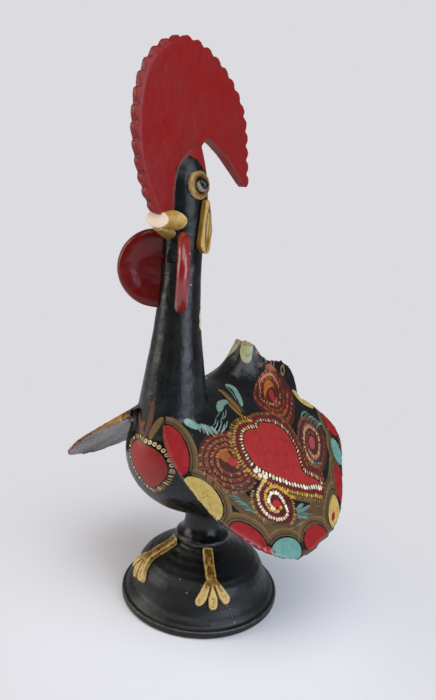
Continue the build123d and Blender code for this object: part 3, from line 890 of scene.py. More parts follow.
# each leaf's line, width, colour and layer
LEAVES = [
    ([(27.6, -11.4), (28, -19.3), (33.7, -27.4)], 6.4, TURQUOISE, 0.3),
    ([(10.5, 4.4), (18.5, 6.6), (29.5, 2), (37.4, -3.1)], 5.0, TURQUOISE, 0.3),
    ([(12.6, 2.4), (22.2, 0.6), (30.7, -3.2)], 1.4, "#4f7872", 0.5),
    ([(13, -6.4), (26.3, -8.4), (42, -8.6)], 4.2, GOLD, 0.3),
    ([(29.6, -12.6), (37.1, -12.2), (47.2, -10.6)], 4.0, GOLD, 0.3),
    ([(14, -3.8), (27, -5.6), (44, -6)], 1.3, "#6b5128", 0.5),
    ([(16, -8.2), (27, -10.4), (44, -10.4)], 1.0, "#2c1f10", 1.4),
    ([(26.5, -58), (32, -56), (39, -51)], 6.4, "#7a9c8e", 0.3),
    ([(129, -16.9), (128.2, -12.1), (127.6, -6.4)], 3.0, "#627b74", 0.5),
    ([(130.5, -16.8), (131.3, -10), (131.5, 0)], 2.6, "#627b74", 0.5),
    ([(131.3, -17), (134.3, -10.6), (137.9, -3.6)], 2.4, "#4f6a64", 0.5),
    ([(132.9, -18.4), (135.9, -13.2), (138.6, -7.6)], 2.2, "#627b74", 0.5),
    ([(138.2, -24.2), (138.7, -20), (138.9, -16.4)], 2.0, "#5f6a62", 0.5),
]
# the two ends of each thin line
THIN_LINES = [
    ((46.1, -44.2), (40.4, -33.9)), ((49.8, -44), (41.8, -31.1)), ((51.2, -41.3), (44.8, -30.7)),
    ((49.9, -36.9), (43.8, -26.8)), ((41.8, -33), (35.3, -23.9)), ((41.2, -29.1), (34.6, -20)),
    ((37.3, -33.2), (31.1, -24.1)), ((42.3, -41.2), (37.1, -33.6)),
]
# each hatch's first stroke, the step to the next, how many there are and how far one reaches
HATCHES = [
    ((93, -64), (2.9, 1.1), 6, (8, 7)), ((100, 48.5), (4.4, 1.8), 6, (8, 12)),
    ((112, 25), (4.2, 2.8), 4, (8, 7)),
]


def paint_leaves(brush):
    """Leaf strokes in teal and gold between the larger motifs."""
    for line, width, colour, layer in LEAVES:
        brush.stroke(line, width, colour, layer, (0.45, 0.2))
    for i in range(6):
        start = np.array([33.0 + 1.7 * i + brush.random.uniform(-0.8, 0.8), -52.0 + 1.8 * i])
        reach = np.array([brush.random.uniform(8, 11.5), brush.random.uniform(-1.8, 0.6)])
        colour = [TURQUOISE, "#5d7f74", "#86988a"][i % 3]
        width = brush.random.uniform(1.6, 2.6)
        brush.stroke([start, start + 0.5 * reach + (0, 0.8), start + reach], width, colour, 0.5, (0.6, 0.1))
    for start, end in THIN_LINES:
        middle = (np.array(start) + end) / 2 + (0.6, 0.6)
        colour = "#7d948a" if start[0] > 44 else "#5f7a70"
        brush.stroke([start, middle, end], brush.random.uniform(0.8, 1.3), colour, 0.3, (0.3, 0.2))
    for first, step, count, reach in HATCHES:
        for i in range(count):
            start = np.array(first) + i * np.array(step)
            bend = start + 0.5 * np.array(reach) + np.array((-0.9, 0.9))
            colour = ["#4f7066", "#3c5b53", "#587a70"][i % 3]
            width = brush.random.uniform(1.5, 2.4)
            brush.stroke([start, bend, start + reach], width, colour, 0.4, (0.45, 0.1))


TAIL_PETAL = [
    (2.6, 30.5), (6, 28.4), (10, 27.8), (15, 30), (18.5, 33.8), (16.5, 37.6), (12, 39.6), (6, 37), (1, 36),
    (1.6, 33),
]
# each small mark's line, width, colour, layer and the widths of its ends
TAIL_MARKS = [
    ([(0.4, 34.6), (4, 35), (9, 37.6), (14, 39.4)], 2.6, "#8d7a58", 1.4, (0.8, 0.3)),
    ([(9, 31), (13, 33), (15, 36)], 1.6, "#7d7c52", 1.3, (0.3, 0.3)),
    ([(20, 40.2), (24.7, 42.1), (29.2, 45.3), (26.1, 45.5), (21.4, 42.5)], 1.8, "#8a4a26", 0.4, (0.5, 0.5)),
    ([(29.7, 39.5), (34.5, 41.4), (39.2, 44.8)], 2.2, "#5a3a2c", 0.3, (0.4, 0.4)),
    ([(43.3, 45.9), (48.2, 49.3), (54.5, 52.9), (59.7, 55.5)], 3.0, "#8a4a22", 0.5, (0.4, 0.4)),
]


def paint_tail(brush):
    """A pale petal on the tail's ridge and small marks behind it."""
    brush.fill(TAIL_PETAL, PALE_GREEN, 0.3)
    for line, width, colour, layer, ends in TAIL_MARKS:
        brush.stroke(line, width, colour, layer, ends)
    brush.stroke(ellipse((51.2, 54.1), (2.6, 2.6), sweep=350), 1.3, "#8a5a34", 1.0)
    brush.stroke(ellipse((67.5, 63.5), (3.2, 2.8), sweep=350), 1.7, "#8a6a3e", 0.4)
    brush.dab((41.4, 49.8), 3.4, 2.0, 2.1, "#d8c4a8", 1.2)
    brush.dab((25.5, 45.8), 2.4, 1.6, 0.4, "#d8c4a8", 1.2)


def paint_rim(brush, fields):
    """Colours carried over the front rim; a field is its start and end along the rim, paint and dots."""
    for start, end, colour, dots in fields:
        middle = (start + end) / 2
        for down in (0.5, 1.5, 2.5, 3.5, 4.5):
            brush.stroke([(start, down), (middle, down), (end, down)], 1.8, colour, 0.3, (0.7, 0.7))
        if dots:
            brush.dabs([(start + 2, 3.4), (middle, 3.6), (end - 2, 3.4)], 2.2, 1.6, 2.6, dots, 1.0)


LEFT_RIM = [
    (8, 47, RIM_RED, None), (56, 84, PALE_YELLOW, ["#6d5326"]), (103, 134, RIM_RED, [WINE, "#b0605c"]),
]
RIGHT_RIM = [
    (2, 8, "#5f4422", [OCHRE]), (8, 42, "#a37b36", [CREAM, YELLOW]), (42, 112, RIM_RED, ["#c98d84", WINE]),
]
NECK_CHIP = [
    (24, 252), (20, 255), (25, 258), (22, 261), (30, 265), (41, 266), (46, 262), (41, 258), (45, 254),
    (37, 250),
]
CHEST_HEART = [
    (0, 163), (-5, 164.4), (-9.5, 162.7), (-12.6, 158.3), (-12.6, 153.5), (-9, 146.8), (-3, 139.5),
    (3.3, 132.5), (8.5, 129.2), (12, 131.5), (17.2, 136.1), (22, 143.4), (22.7, 150.9), (18.5, 158),
    (13.9, 161), (9, 162.6), (4.6, 163),
]
CHEST_TIP = (8.5, 129.2)
CHEST_RIGHT = (22.5, 148)
# each leaf's line, width and colour
CHEST_LEAVES = [
    ([(-4, 169), (-4.5, 175), (-2, 181)], 4.2, "#6f3d22"),
    ([(0.5, 169), (3.5, 183), (3.8, 198)], 4.6, "#5d3620"),
    ([(4.5, 168), (8.5, 178), (13, 187)], 5.2, "#76592f"),
    ([(1, 168), (-6, 176), (-11, 184)], 4.0, "#6b3a20"),
    ([(-19, 166), (-19.5, 173), (-18.5, 182)], 3.0, "#8a5430"),
]


def paint_chest(brush):
    """The heart on the breast with ringed dots and dabs round it, and leaf strokes above it."""
    edge = drawn_line(CHEST_HEART, HEART_STEP, closed=True)
    brush.fill(CHEST_HEART, CHEST_RED, 0.4)
    at_tip, at_right = closest(edge, CHEST_TIP), closest(edge, CHEST_RIGHT)
    rope = beside(edge, 3.0)
    for at in drawn_line(rope[at_right:][::-1], 4.3):
        brush.dab(at, 3.5, 3.3, 0.0, CREAM, 0.6)
        brush.dab(at, 1.3, 1.2, 0.0, GOLD, 1.8)
    brush.dabs(rope[at_tip:at_right], 4.2, 1.7, 2.8, [CREAM, OCHRE, PEACH], 0.6)
    brush.dabs(rope[:at_tip], 3.8, 1.7, 2.9, [PEACH, OCHRE, CREAM], 0.6)
    for line, width, colour in CHEST_LEAVES:
        brush.stroke(line, width, colour, 0.3, (0.15, 0.3))


# Placing the brushwork on the clay

# sizes in mm that repeat the CAD's: the wings' cape, the tail's ridge, the front rim and the neck's axis
CAPE_TOP = 198.5
CAPE_DROP = 93.0
CAPE_FRONT = 89.0
CAPE_FULLNESS = 0.7
WING_REACH = 122.0
RIDGE_FROM = -6.0
RIDGE_SLOPE = 0.93
RIDGE_EASE = 60.0
RIDGE_HALF_WIDTH = 15.8
FRONT_RIM = [(17, -75.6), (61, -89), (96.4, -74.8), (119.6, -48), (122, -12.5)]
NECK_AXIS = -46.0
# the height of a rim's edge, how far in its core lies and how far down, and where rays start outside the clay
RIM_EDGE = 3.0
RIM_DEPTH = 4.0
RIM_MIDDLE = 1.3
RIM_RAY_FROM = 9.0
CHEST_RAY_FROM = 300.0
NECK_RAY_FROM = 80.0
# the run of a ray that met no clay
MISSED = 999.0


def clay_tree(piece):
    """A search tree over a finished piece of clay."""
    mesh = piece.data
    return BVHTree.FromPolygons([v.co for v in mesh.vertices], [p.vertices[:] for p in mesh.polygons])


def smooth_step(share):
    """Eases from 0 to 1."""
    share = np.clip(share, 0, 1)
    return share * share * (3 - 2 * share)


def mantle_height(x, y):
    """Height of the wings' and tail's upper surface over a place in plan, in millimetres."""
    ease = smooth_step((y + CAPE_FRONT) / CAPE_FRONT)
    cape = CAPE_TOP - CAPE_DROP * (np.abs(x) / WING_REACH) ** (1.0 + CAPE_FULLNESS * ease)
    climb = np.maximum(y - RIDGE_FROM, 0)
    ridge = RIDGE_SLOPE * climb * smooth_step(climb / RIDGE_EASE)
    return cape + ridge / (1 + (np.abs(x) / RIDGE_HALF_WIDTH) ** 3)


def wing_placer(tree, side):
    """Lays (s, t) on a wing: t runs along y and s is the distance over the clay from the middle."""
    reach = np.arange(0.0, 150.0, 1.0)

    def place(chart):
        heights = mantle_height(reach[None, :], chart[:, 1][:, None])
        steps = np.hypot(1.0, np.diff(heights, axis=1))
        lengths = np.concatenate([np.zeros((len(chart), 1)), np.cumsum(steps, axis=1)], axis=1)
        x = np.array([np.interp(s, row, reach) for s, row in zip(chart[:, 0], lengths)])
        ideal = np.stack([side * x, chart[:, 1], mantle_height(x, chart[:, 1])], axis=1)
        return nearest(tree, ideal)

    return place


def rim_placer(tree, side):
    """Lays (u, v) on a wing's front rim: u runs along it from the neck, v down its edge and in underneath."""
    rim = drawn_line(FRONT_RIM, 1.0)
    core = beside(rim, -RIM_DEPTH, False)
    outward = (rim - core) / RIM_DEPTH
    levels = mantle_height(core[:, 0], core[:, 1]) - RIM_MIDDLE
    steps = np.diff(np.column_stack([rim, levels]), axis=0)
    lengths = np.concatenate([[0], np.cumsum(np.linalg.norm(steps, axis=1))])

    def place(chart):
        columns = (core[:, 0], core[:, 1], levels, outward[:, 0], outward[:, 1])
        x, y, z, out_x, out_y = [np.interp(chart[:, 0], lengths, values) for values in columns]
        out = RIM_DEPTH - np.maximum(chart[:, 1] - RIM_EDGE, 0)
        up = RIM_MIDDLE - np.minimum(chart[:, 1], RIM_EDGE)
        away = np.stack([side * out * out_x, out * out_y, up], axis=1)
        away /= np.linalg.norm(away, axis=1, keepdims=True)
        middle = np.stack([side * x, y, z], axis=1)
        points, normals, gaps = cast(tree, middle + RIM_RAY_FROM * away, -away)
        passed = (gaps > RIM_RAY_FROM) | (gaps < RIM_RAY_FROM - 2 * RIM_DEPTH)
        if passed.any():
            points[passed], normals[passed], _ = nearest(tree, (middle + 0.7 * RIM_DEPTH * away)[passed])
        return points, normals, np.zeros(len(chart))

    return place


def cast(tree, starts, ways):
    """Where rays in millimetres meet the clay: points, normals and how far they ran, or MISSED."""
    points, normals, gaps = [], [], []
    for start, way in zip(starts, ways):
        at, normal, _, gap = tree.ray_cast(Vector(start) * MM, Vector(way))
        points.append(at if at else Vector(start) * MM)
        normals.append(normal if at else -Vector(way))
        gaps.append(gap / MM if at else MISSED)
    return np.array(points), np.array(normals), np.array(gaps)


def nearest(tree, ideal):
    """The closest clay to each ideal point in millimetres: points, normals and how far off they were."""
    points, normals, gaps = [], [], []
    for target in ideal:
        at, normal, _, gap = tree.find_nearest(Vector(target) * MM)
        points.append(at)
        normals.append(normal)
        gaps.append(gap / MM)
    return np.array(points), np.array(normals), np.array(gaps)


def chest_placer(tree):
    """Lays (x, z) on the breast and neck, seen from the front."""
    def place(chart):
        starts = np.stack([chart[:, 0], np.full(len(chart), -CHEST_RAY_FROM), chart[:, 1]], axis=1)
        points, normals, gaps = cast(tree, starts, np.tile((0.0, 1.0, 0.0), (len(chart), 1)))
        return points, normals, np.where(gaps < MISSED, 0.0, gaps)

    return place


def neck_placer(tree):
    """Lays (turn in degrees, z) round the neck."""
    def place(chart):
        turn = np.radians(chart[:, 0])
        out = np.stack([np.cos(turn), np.sin(turn), 0 * turn], axis=1)
        starts = NECK_RAY_FROM * out + np.stack([0 * turn, 0 * turn + NECK_AXIS, chart[:, 1]], axis=1)
        points, normals, gaps = cast(tree, starts, -out)
        return points, normals, np.where(gaps < MISSED, 0.0, gaps)

    return place


# Operators, one for each piece or group of like pieces

class ROOSTER_OT_figure(bpy.types.Operator):
    """Body, neck, wings, tail and stem as one worked piece of clay in black enamel"""
    bl_idname = "rooster.figure"
    bl_label = "Figure"

    def execute(self, context):
        clay = context.scene.rooster_clay
        nodes = ("body", "neck", "stem", "left_wing", "right_wing", "tail")
        piece = clay_copy("figure", nodes + ("head",), clay.figure_grain, 10, clay.closing)
        press_by_hand(piece, FINGER_MM, clay.unevenness)
        mark_edges(piece, 6)
        cut_level(piece, clay.head_cut, False)
        finish = black_enamel("Black enamel on the figure", 5, (1, 1, 0.16), 0.93, (0.32, 0.3, 0.5))
        finish_piece(piece, finish, nodes)
        return {"FINISHED"}


class ROOSTER_OT_base(bpy.types.Operator):
    """Bell foot with throwing rings, black outside and bare clay underneath"""
    bl_idname = "rooster.base"
    bl_label = "Bell foot"

    ring_wander = 1.2 * MM
    ring_slope = 0.35
    rings_from = 6.0 * MM
    rings_fade = 4.0 * MM
    # height in mm, half width in mm and strength
    rubbed_lines = [(8.9, 0.5, 0.56), (21.2, 0.4, 0.4)]
    # the upright part of a face's normal that counts as underneath, or as the hollow's wall
    under_facing = -0.9
    wall_facing = 0.4

    def execute(self, context):
        clay = context.scene.rooster_clay
        piece = clay_copy("base", ("base_bell",), clay.base_grain, 4)
        points, normals, _ = mesh_arrays(piece)
        height = points[:, 2]
        outward = np.hypot(points[:, 0], points[:, 1])
        facing = (points[:, :2] * normals[:, :2]).sum(axis=1) / np.maximum(outward, 1e-6)
        turn = np.arctan2(points[:, 1], points[:, 0])
        along = (height + self.ring_wander * np.sin(turn) - self.ring_slope * outward) / clay.ring_pitch
        shown = np.clip(facing * 2, 0, 1) * np.clip((height - self.rings_from) / self.rings_fade, 0, 1)
        rings = clay.ring_height * shown * np.sin(2 * np.pi * along)
        points = points + normals * rings[:, None]
        points[:, 2] = np.maximum(points[:, 2], 0.0)
        set_points(piece, points)
        mark_edges(piece, 6)
        for level, width, amount in self.rubbed_lines:
            add_to_edges(piece, amount * np.exp(-((points[:, 2] / MM - level) / width) ** 2))
        piece.data.materials.append(black_enamel(
            "Black enamel on the bell foot", 7, (0.3, 0.3, 1), 0.92, (0.34, 0.3, 0.6), (0.32, 0.52)))
        piece.data.materials.append(fired_clay("Fired clay underneath"))
        for face in piece.data.polygons:
            upright = face.normal.z
            inward = face.normal.x * face.center.x + face.normal.y * face.center.y < 0
            if (inward and upright < self.wall_facing) or upright < self.under_facing:
                face.material_index = 1
        finish_piece(piece, None, ("base_bell",))
        return {"FINISHED"}


class ROOSTER_OT_head(bpy.types.Operator):
    """Head and scalloped comb in one, red in front of a pointed black cheek"""
    bl_idname = "rooster.head"
    bl_label = "Head and comb"

    # (y, z) in mm round the black, and along the notches between the comb's teeth
    cheek = [
        (-110, 326), (-62, 326), (-61.2, 341), (-61.6, 350), (-60.6, 365), (-56, 372), (-50, 377.5),
        (-44, 374), (-38, 368), (-30, 362), (-14, 356), (-14, 280), (-110, 280),
    ]
    crest = [
        (-73.3, 335.2), (-90.5, 367.5), (-95.5, 401.8), (-84.9, 434.8), (-55.6, 452), (-19.3, 441.4),
        (7.8, 416.4), (17.7, 382), (21, 357),
    ]
    crest_step = 1.5
    tooth_height = 3.6
    tooth_lean = 3.0
    edge_from = 1.5
    edge_thinning = 0.5
    # the downward run of the crest, out of 1, from which the back teeth keep their thickness
    thick_back = 0.9

    def execute(self, context):
        clay = context.scene.rooster_clay
        piece = clay_copy("head", ("head", "comb", "neck"), clay.head_grain, 3, clay.head_closing)
        press_by_hand(piece, FINGER_MM, clay.unevenness)
        self.pinch_teeth(piece)
        mark_edges(piece, 7)
        cut_level(piece, clay.head_cut, True)
        store(piece, "black_side", self.inside_cheek(mesh_arrays(piece)[0][:, 1:] / MM))
        finish = brushed_enamel(
            "Red and black enamel on the head", [red_coat(), black_coat()], [(0.3, 0.5), BLACK_GLOSS],
            6, (1, 1, 0.3), (-0.05, -0.4, 0.8), (0.3, 0.3, 0.6), 0.93, mask="black_side", shine=0.26)
        finish_piece(piece, finish, ("head", "comb"))
        return {"FINISHED"}

    def pinch_teeth(self, piece):
        """Thins the comb's teeth towards their tips, less at the back, and leans those in front upwards."""
        points, _, _ = mesh_arrays(piece)
        at = points[:, 1:] / MM
        line = drawn_line(self.crest, self.crest_step)
        along = np.gradient(line, axis=0)
        along /= np.linalg.norm(along, axis=1, keepdims=True)
        nearest_line, depth = np.full(len(at), MISSED), np.full(len(at), MISSED)
        way = np.zeros((len(at), 2))
        for place, forward in zip(line, along):
            gap = np.hypot(*(at - place).T)
            closer = gap < nearest_line
            nearest_line[closer] = gap[closer]
            depth[closer] = (at[closer] - place) @ (forward[1], -forward[0])
            way[closer] = forward
        tip = smooth_step((self.edge_from - depth) / (self.edge_from + self.tooth_height))
        points[:, 0] *= 1 - self.edge_thinning * tip * np.clip(way[:, 1] + self.thick_back, 0, 1)
        lean = self.tooth_lean * np.clip(-depth / self.tooth_height, 0, 1) * np.clip(way[:, 1], 0, 1) ** 2
        points[:, 1:] += way * (lean * MM)[:, None]
        set_points(piece, points)

    def inside_cheek(self, at):
        """Distance in mm inside the black cheek, negative in the red."""
        corners = np.array(self.cheek, float)
        nearest_edge = np.full(len(at), MISSED)
        for start, end in zip(corners, np.roll(corners, -1, axis=0)):
            along = end - start
            share = np.clip(((at - start) @ along) / (along @ along), 0, 1)
            gap = np.linalg.norm(at - start - share[:, None] * along, axis=1)
            nearest_edge = np.minimum(nearest_edge, gap)
        return np.where(inside_outline(at, corners), nearest_edge, -nearest_edge)


class ROOSTER_OT_wattles(bpy.types.Operator):
    """Two red wattles hanging from the jaw, pressed against the neck"""
    bl_idname = "rooster.wattles"
    bl_label = "Wattles"

    press = 2.4 * MM
    press_reach = 27.0 * MM
    press_fade = 4
    coarser = 1.4
    # each side's brightness and shine; the right wattle's lower brightness is painted shade
    paints = [("left", 1.0, 0.75), ("right", 0.62, 0.28)]

    def execute(self, context):
        for side, depth, shine in self.paints:
            node = side + "_wattle"
            finish = red_enamel("Red enamel on the %s wattle" % side, depth, shine)
            grain = context.scene.rooster_clay.small_grain * self.coarser
            piece = clay_copy(node + "_clay", (node,), grain, 6)
            press_by_hand(piece, 9, 0.3 * MM)
            points, _, _ = mesh_arrays(piece)
            inward = np.array([0.0, NECK_AXIS * MM, 0.0]) - points
            inward[:, 2] = 0.0
            away = np.linalg.norm(inward, axis=1, keepdims=True)
            press = self.press * np.clip((self.press_reach - away) / self.press_reach * self.press_fade, 0, 1)
            set_points(piece, points + inward / away * press)
            mark_edges(piece, 8)
            finish_piece(piece, finish, (node,))
        return {"FINISHED"}


class ROOSTER_OT_beak(bpy.types.Operator):
    """Ochre beak in two halves, the upper one broken off to the bare clay"""
    bl_idname = "rooster.beak"
    bl_label = "Beak"

    # the way that the break faces, how deep it is and how squarely a face of it looks that way
    break_turn = math.radians(22)
    break_depth = 0.5 * MM
    break_facing = 0.8
    jaw_wedge = 0.6
    round_from = -66.0 * MM
    round_over = 8.1 * MM
    round_aside = 6 * MM
    round_push = (1.4 * MM, 3.2 * MM)
    round_swell = 0.4

    def execute(self, context):
        grain = context.scene.rooster_clay.small_grain
        self.make_upper(grain)
        self.make_lower(grain)
        return {"FINISHED"}

    def make_upper(self, grain):
        """The upper half, ochre with a bare break in front."""
        upper = clay_copy("upper_beak_clay", ("upper_beak",), grain, 4)
        self.round_ends(upper)
        mark_edges(upper, 8)
        points, _, _ = mesh_arrays(upper)
        broken = Vector((math.sin(self.break_turn), -math.cos(self.break_turn), 0))
        front = (points @ np.array(broken)).max() - self.break_depth
        upper.data.materials.append(ochre_enamel("Ochre enamel on the beak", (0.02, -0.3, 0.75)))
        upper.data.materials.append(fired_clay("Fired clay at the break"))
        for face in upper.data.polygons:
            if face.center.dot(broken) > front and face.normal.dot(broken) > self.break_facing:
                face.material_index = 1
        finish_piece(upper, None, ("upper_beak",))

    def make_lower(self, grain):
        """The lower half, a wedge that is thinnest in front."""
        lower = clay_copy("lower_beak_clay", ("lower_beak",), grain, 10)
        points, _, _ = mesh_arrays(lower)
        low, high = points.min(axis=0), points.max(axis=0)
        share = (high[1] - points[:, 1]) / (high[1] - low[1])
        points[:, 2] += (high[2] - points[:, 2]) * self.jaw_wedge * share ** 2
        set_points(lower, points)
        mark_edges(lower, 8)
        finish = ochre_enamel("Dark ochre enamel on the jaw", (0.1, -0.2, 0.8), 0.68)
        finish_piece(lower, finish, ("lower_beak",))

    def round_ends(self, beak):
        """Presses the beak's two ends back over the cheeks, so that they are round and not pointed."""
        points, _, _ = mesh_arrays(beak)
        back = np.clip((points[:, 1] - self.round_from) / self.round_over, 0, 1)
        share = back * np.clip(np.abs(points[:, 0]) / self.round_aside, 0, 1)
        middle = (points[:, 2].min() + points[:, 2].max()) / 2
        points[:, 0] += np.sign(points[:, 0]) * self.round_push[0] * share
        points[:, 1] += self.round_push[1] * share
        points[:, 2] += (points[:, 2] - middle) * self.round_swell * share ** 2
        set_points(beak, points)


class ROOSTER_OT_eyes(bpy.types.Operator):
    """Ochre eye rings round black pupils with an off-white crescent"""
    bl_idname = "rooster.eyes"
    bl_label = "Eyes"

    # sizes in mm: where the ring's painted shade starts, darker towards the pupil, and the black's place on
    # the pupil and its radius
    painted_shade_radius = 7.6
    painted_shade_slope = 0.12
    black_offset = (0.0, 1.1)
    black_radius = 4.3
    finer = 0.8
    eye_white = ["#b5ab98", "#a3987f", "#6b5334", "#c4bba8"]

    def execute(self, context):
        grain = context.scene.rooster_clay.small_grain
        ring_finish = ochre_enamel("Ochre enamel on the eye rings", (0.2, -0.16, 0.95), 0.66)
        paint = context.scene.rooster_paint
        black = (paint.black, paint.black_thin, paint.black, paint.black_thin)
        pupil_finish = brushed_enamel(
            "Black and off-white enamel on the pupils", [[linear(tone) for tone in self.eye_white], black],
            [(0.16, 0.3), (0.08, 0.2)], 3, (1, 1, 1),
            (0.3, -0.3, 0.6), (0.5, 0.3, 0.3), 0.95, mask="black_side")
        for side in ("left", "right"):
            ring = clay_copy(side + "_eye_ring_clay", (side + "_eye_ring",), grain, 4)
            press_by_hand(ring, 4, 1.5 * MM)
            points, _, _ = mesh_arrays(ring)
            middle = np.mean(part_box(side + "_pupil"), axis=0)
            radius = np.hypot(points[:, 1] - middle[1], points[:, 2] - middle[2]) / MM
            # the ring is painted browner towards the pupil: painted shade in the hollow round it
            store(ring, "stand_out", self.painted_shade_slope * (radius - self.painted_shade_radius))
            finish_piece(ring, ring_finish, (side + "_eye_ring",))
            pupil = clay_copy(side + "_pupil_clay", (side + "_pupil",), grain * self.finer, 3)
            mark_edges(pupil, 5)
            points, _, _ = mesh_arrays(pupil)
            from_black = (points[:, 1:] - middle[1:]) / MM - self.black_offset
            store(pupil, "black_side", self.black_radius - np.linalg.norm(from_black, axis=1))
            finish_piece(pupil, pupil_finish, (side + "_pupil",))
        return {"FINISHED"}


class ROOSTER_OT_earlobes(bpy.types.Operator):
    """Long ochre earlobes with lines drawn in the soft clay"""
    bl_idname = "rooster.earlobes"
    bl_label = "Earlobes"

    # the lines' places and width across the lobe, in halves of its width, and their depth
    line_places = (-0.42, 0.05, 0.5)
    line_width = 0.13
    line_depth = 1.2 * MM
    line_fade = 1.5
    lean = 0.1
    # how the wash sees the outer face, the edge and the lines, in mm that they stand out
    face_form = 0.2
    edge_form = -0.03
    line_form = -0.4

    def execute(self, context):
        grain = context.scene.rooster_clay.small_grain
        finish = ochre_enamel("Ochre enamel on the earlobes", (0.04, -0.16, 0.97), 0.95)
        for side, sign in (("left", 1), ("right", -1)):
            node = side + "_earlobe"
            piece = clay_copy(node + "_clay", (node,), grain, 4)
            points, normals, _ = mesh_arrays(piece)
            lines = self.drawn_lines(points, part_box(node))
            shown = np.clip(normals[:, 0] * sign, 0, 1)
            set_points(piece, points - normals * (self.line_depth * lines * shown)[:, None])
            store(piece, "stand_out", self.face_form * shown + self.edge_form + self.line_form * lines)
            finish_piece(piece, finish, (node,))
        return {"FINISHED"}

    def drawn_lines(self, points, box):
        """How deep each point lies in the lines, out of 1; they meet towards the lobe's ends."""
        low, high = [np.array(corner) for corner in box]
        share = (points[:, 2] - low[2]) / (high[2] - low[2])
        middle = low[1] + (high[1] - low[1]) * (0.5 + self.lean * (share - 0.5))
        across = (points[:, 1] - middle) / (0.5 * (high[1] - low[1]))
        width = np.clip(np.sin(np.pi * np.clip(share, 0, 1)), 0, 1)
        lines = sum(np.exp(-((across - at * width) / self.line_width) ** 2) for at in self.line_places)
        return lines * np.clip(width * self.line_fade, 0, 1)


class ROOSTER_OT_feet(bpy.types.Operator):
    """Two three-toed ochre feet on the bell, brown between and above the toes"""
    bl_idname = "rooster.feet"
    bl_label = "Feet"

    # angles in degrees and sizes in mm: each foot's aim and slope, and the fork of its toes on the bell
    aims = [("left", 52.0), ("right", -30.0)]
    press_angle = 50.0
    fork_radius = 48.0
    fork_height = 40.0
    groove_turn = 18.0
    groove_width = 0.8
    groove_depth = 1.5 * MM
    # where the grooves and the clean toes begin and over what length, in mm from the fork
    groove_start = (3, 4)
    toe_start = (6, 5)
    # how the wash sees the toes and the grooves, in mm that they stand out
    toe_form = 0.145
    groove_form = -0.25

    def execute(self, context):
        finish = ochre_enamel("Ochre enamel on the feet", (0.18, -0.06, 0.97), 1.12)
        for side, aim in self.aims:
            node = side + "_foot"
            piece = clay_copy(node + "_clay", (node,), context.scene.rooster_clay.small_grain, 3)
            press_by_hand(piece, 6, 1.1 * MM)
            points, normals, _ = mesh_arrays(piece)
            out, aside, facing = self.foot_plan(points, normals, aim)
            reach = np.hypot(out, aside)
            off = reach * np.sin(np.abs(np.arctan2(aside, out)) - math.radians(self.groove_turn))
            begins, over = self.groove_start
            groove = smooth_step((reach - begins) / over) * (out > 0)
            groove = groove * np.exp(-(off / self.groove_width) ** 2)
            depth = self.groove_depth * groove * np.clip(facing, 0, 1)
            set_points(piece, points - normals * depth[:, None])
            mark_edges(piece, 18)
            begins, over = self.toe_start
            toe = smooth_step((reach - begins) / over) * (out > 0)
            add_to_edges(piece, self.toe_form * toe + self.groove_form * groove)
            finish_piece(piece, finish, (node,))
        return {"FINISHED"}

    def foot_plan(self, points, normals, aim):
        """How far each point lies out along the toes and aside in mm, and how far it faces off the bell."""
        turn, lean = math.radians(aim), math.radians(self.press_angle)
        outward = np.array([math.sin(turn), -math.cos(turn), 0.0])
        aside = np.array([math.cos(turn), math.sin(turn), 0.0])
        up = np.array([0.0, 0.0, 1.0])
        from_fork = points / MM - self.fork_radius * outward - self.fork_height * up
        down = outward * math.cos(lean) - up * math.sin(lean)
        return from_fork @ down, from_fork @ aside, normals @ (outward * math.sin(lean) + up * math.cos(lean))


class ROOSTER_OT_painting(bpy.types.Operator):
    """Hearts, spirals, scallops and leaves brushed on the wings, tail and breast"""
    bl_idname = "rooster.painting"
    bl_label = "Painting"

    def execute(self, context):
        finish = pattern_enamel()
        tree = clay_tree(bpy.data.objects["figure"])
        for name, side, seed in (("left_painting", 1, 11), ("right_painting", -1, 23)):
            brush = Brushwork(wing_placer(tree, side), seed)
            paint_ground(brush)
            paint_scallops(brush)
            paint_spirals(brush)
            paint_heart(brush)
            paint_leaves(brush)
            paint_tail(brush)
            brush.lay(name, finish, flip=side < 0)
        for name, side, fields in (("left_rim", 1, LEFT_RIM), ("right_rim", -1, RIGHT_RIM)):
            brush = Brushwork(rim_placer(tree, side), 31, reach=4.0)
            paint_rim(brush, fields)
            brush.lay(name + "_painting", finish, flip=side > 0)
        chip = Brushwork(neck_placer(tree), 7)
        chip.fill(NECK_CHIP, "#dcc8a8", 0.1, step=1.2)
        chip.lay("neck_chip", finish)
        breast = Brushwork(chest_placer(tree), 5)
        paint_chest(breast)
        breast.lay("chest_painting", finish)
        return {"FINISHED"}


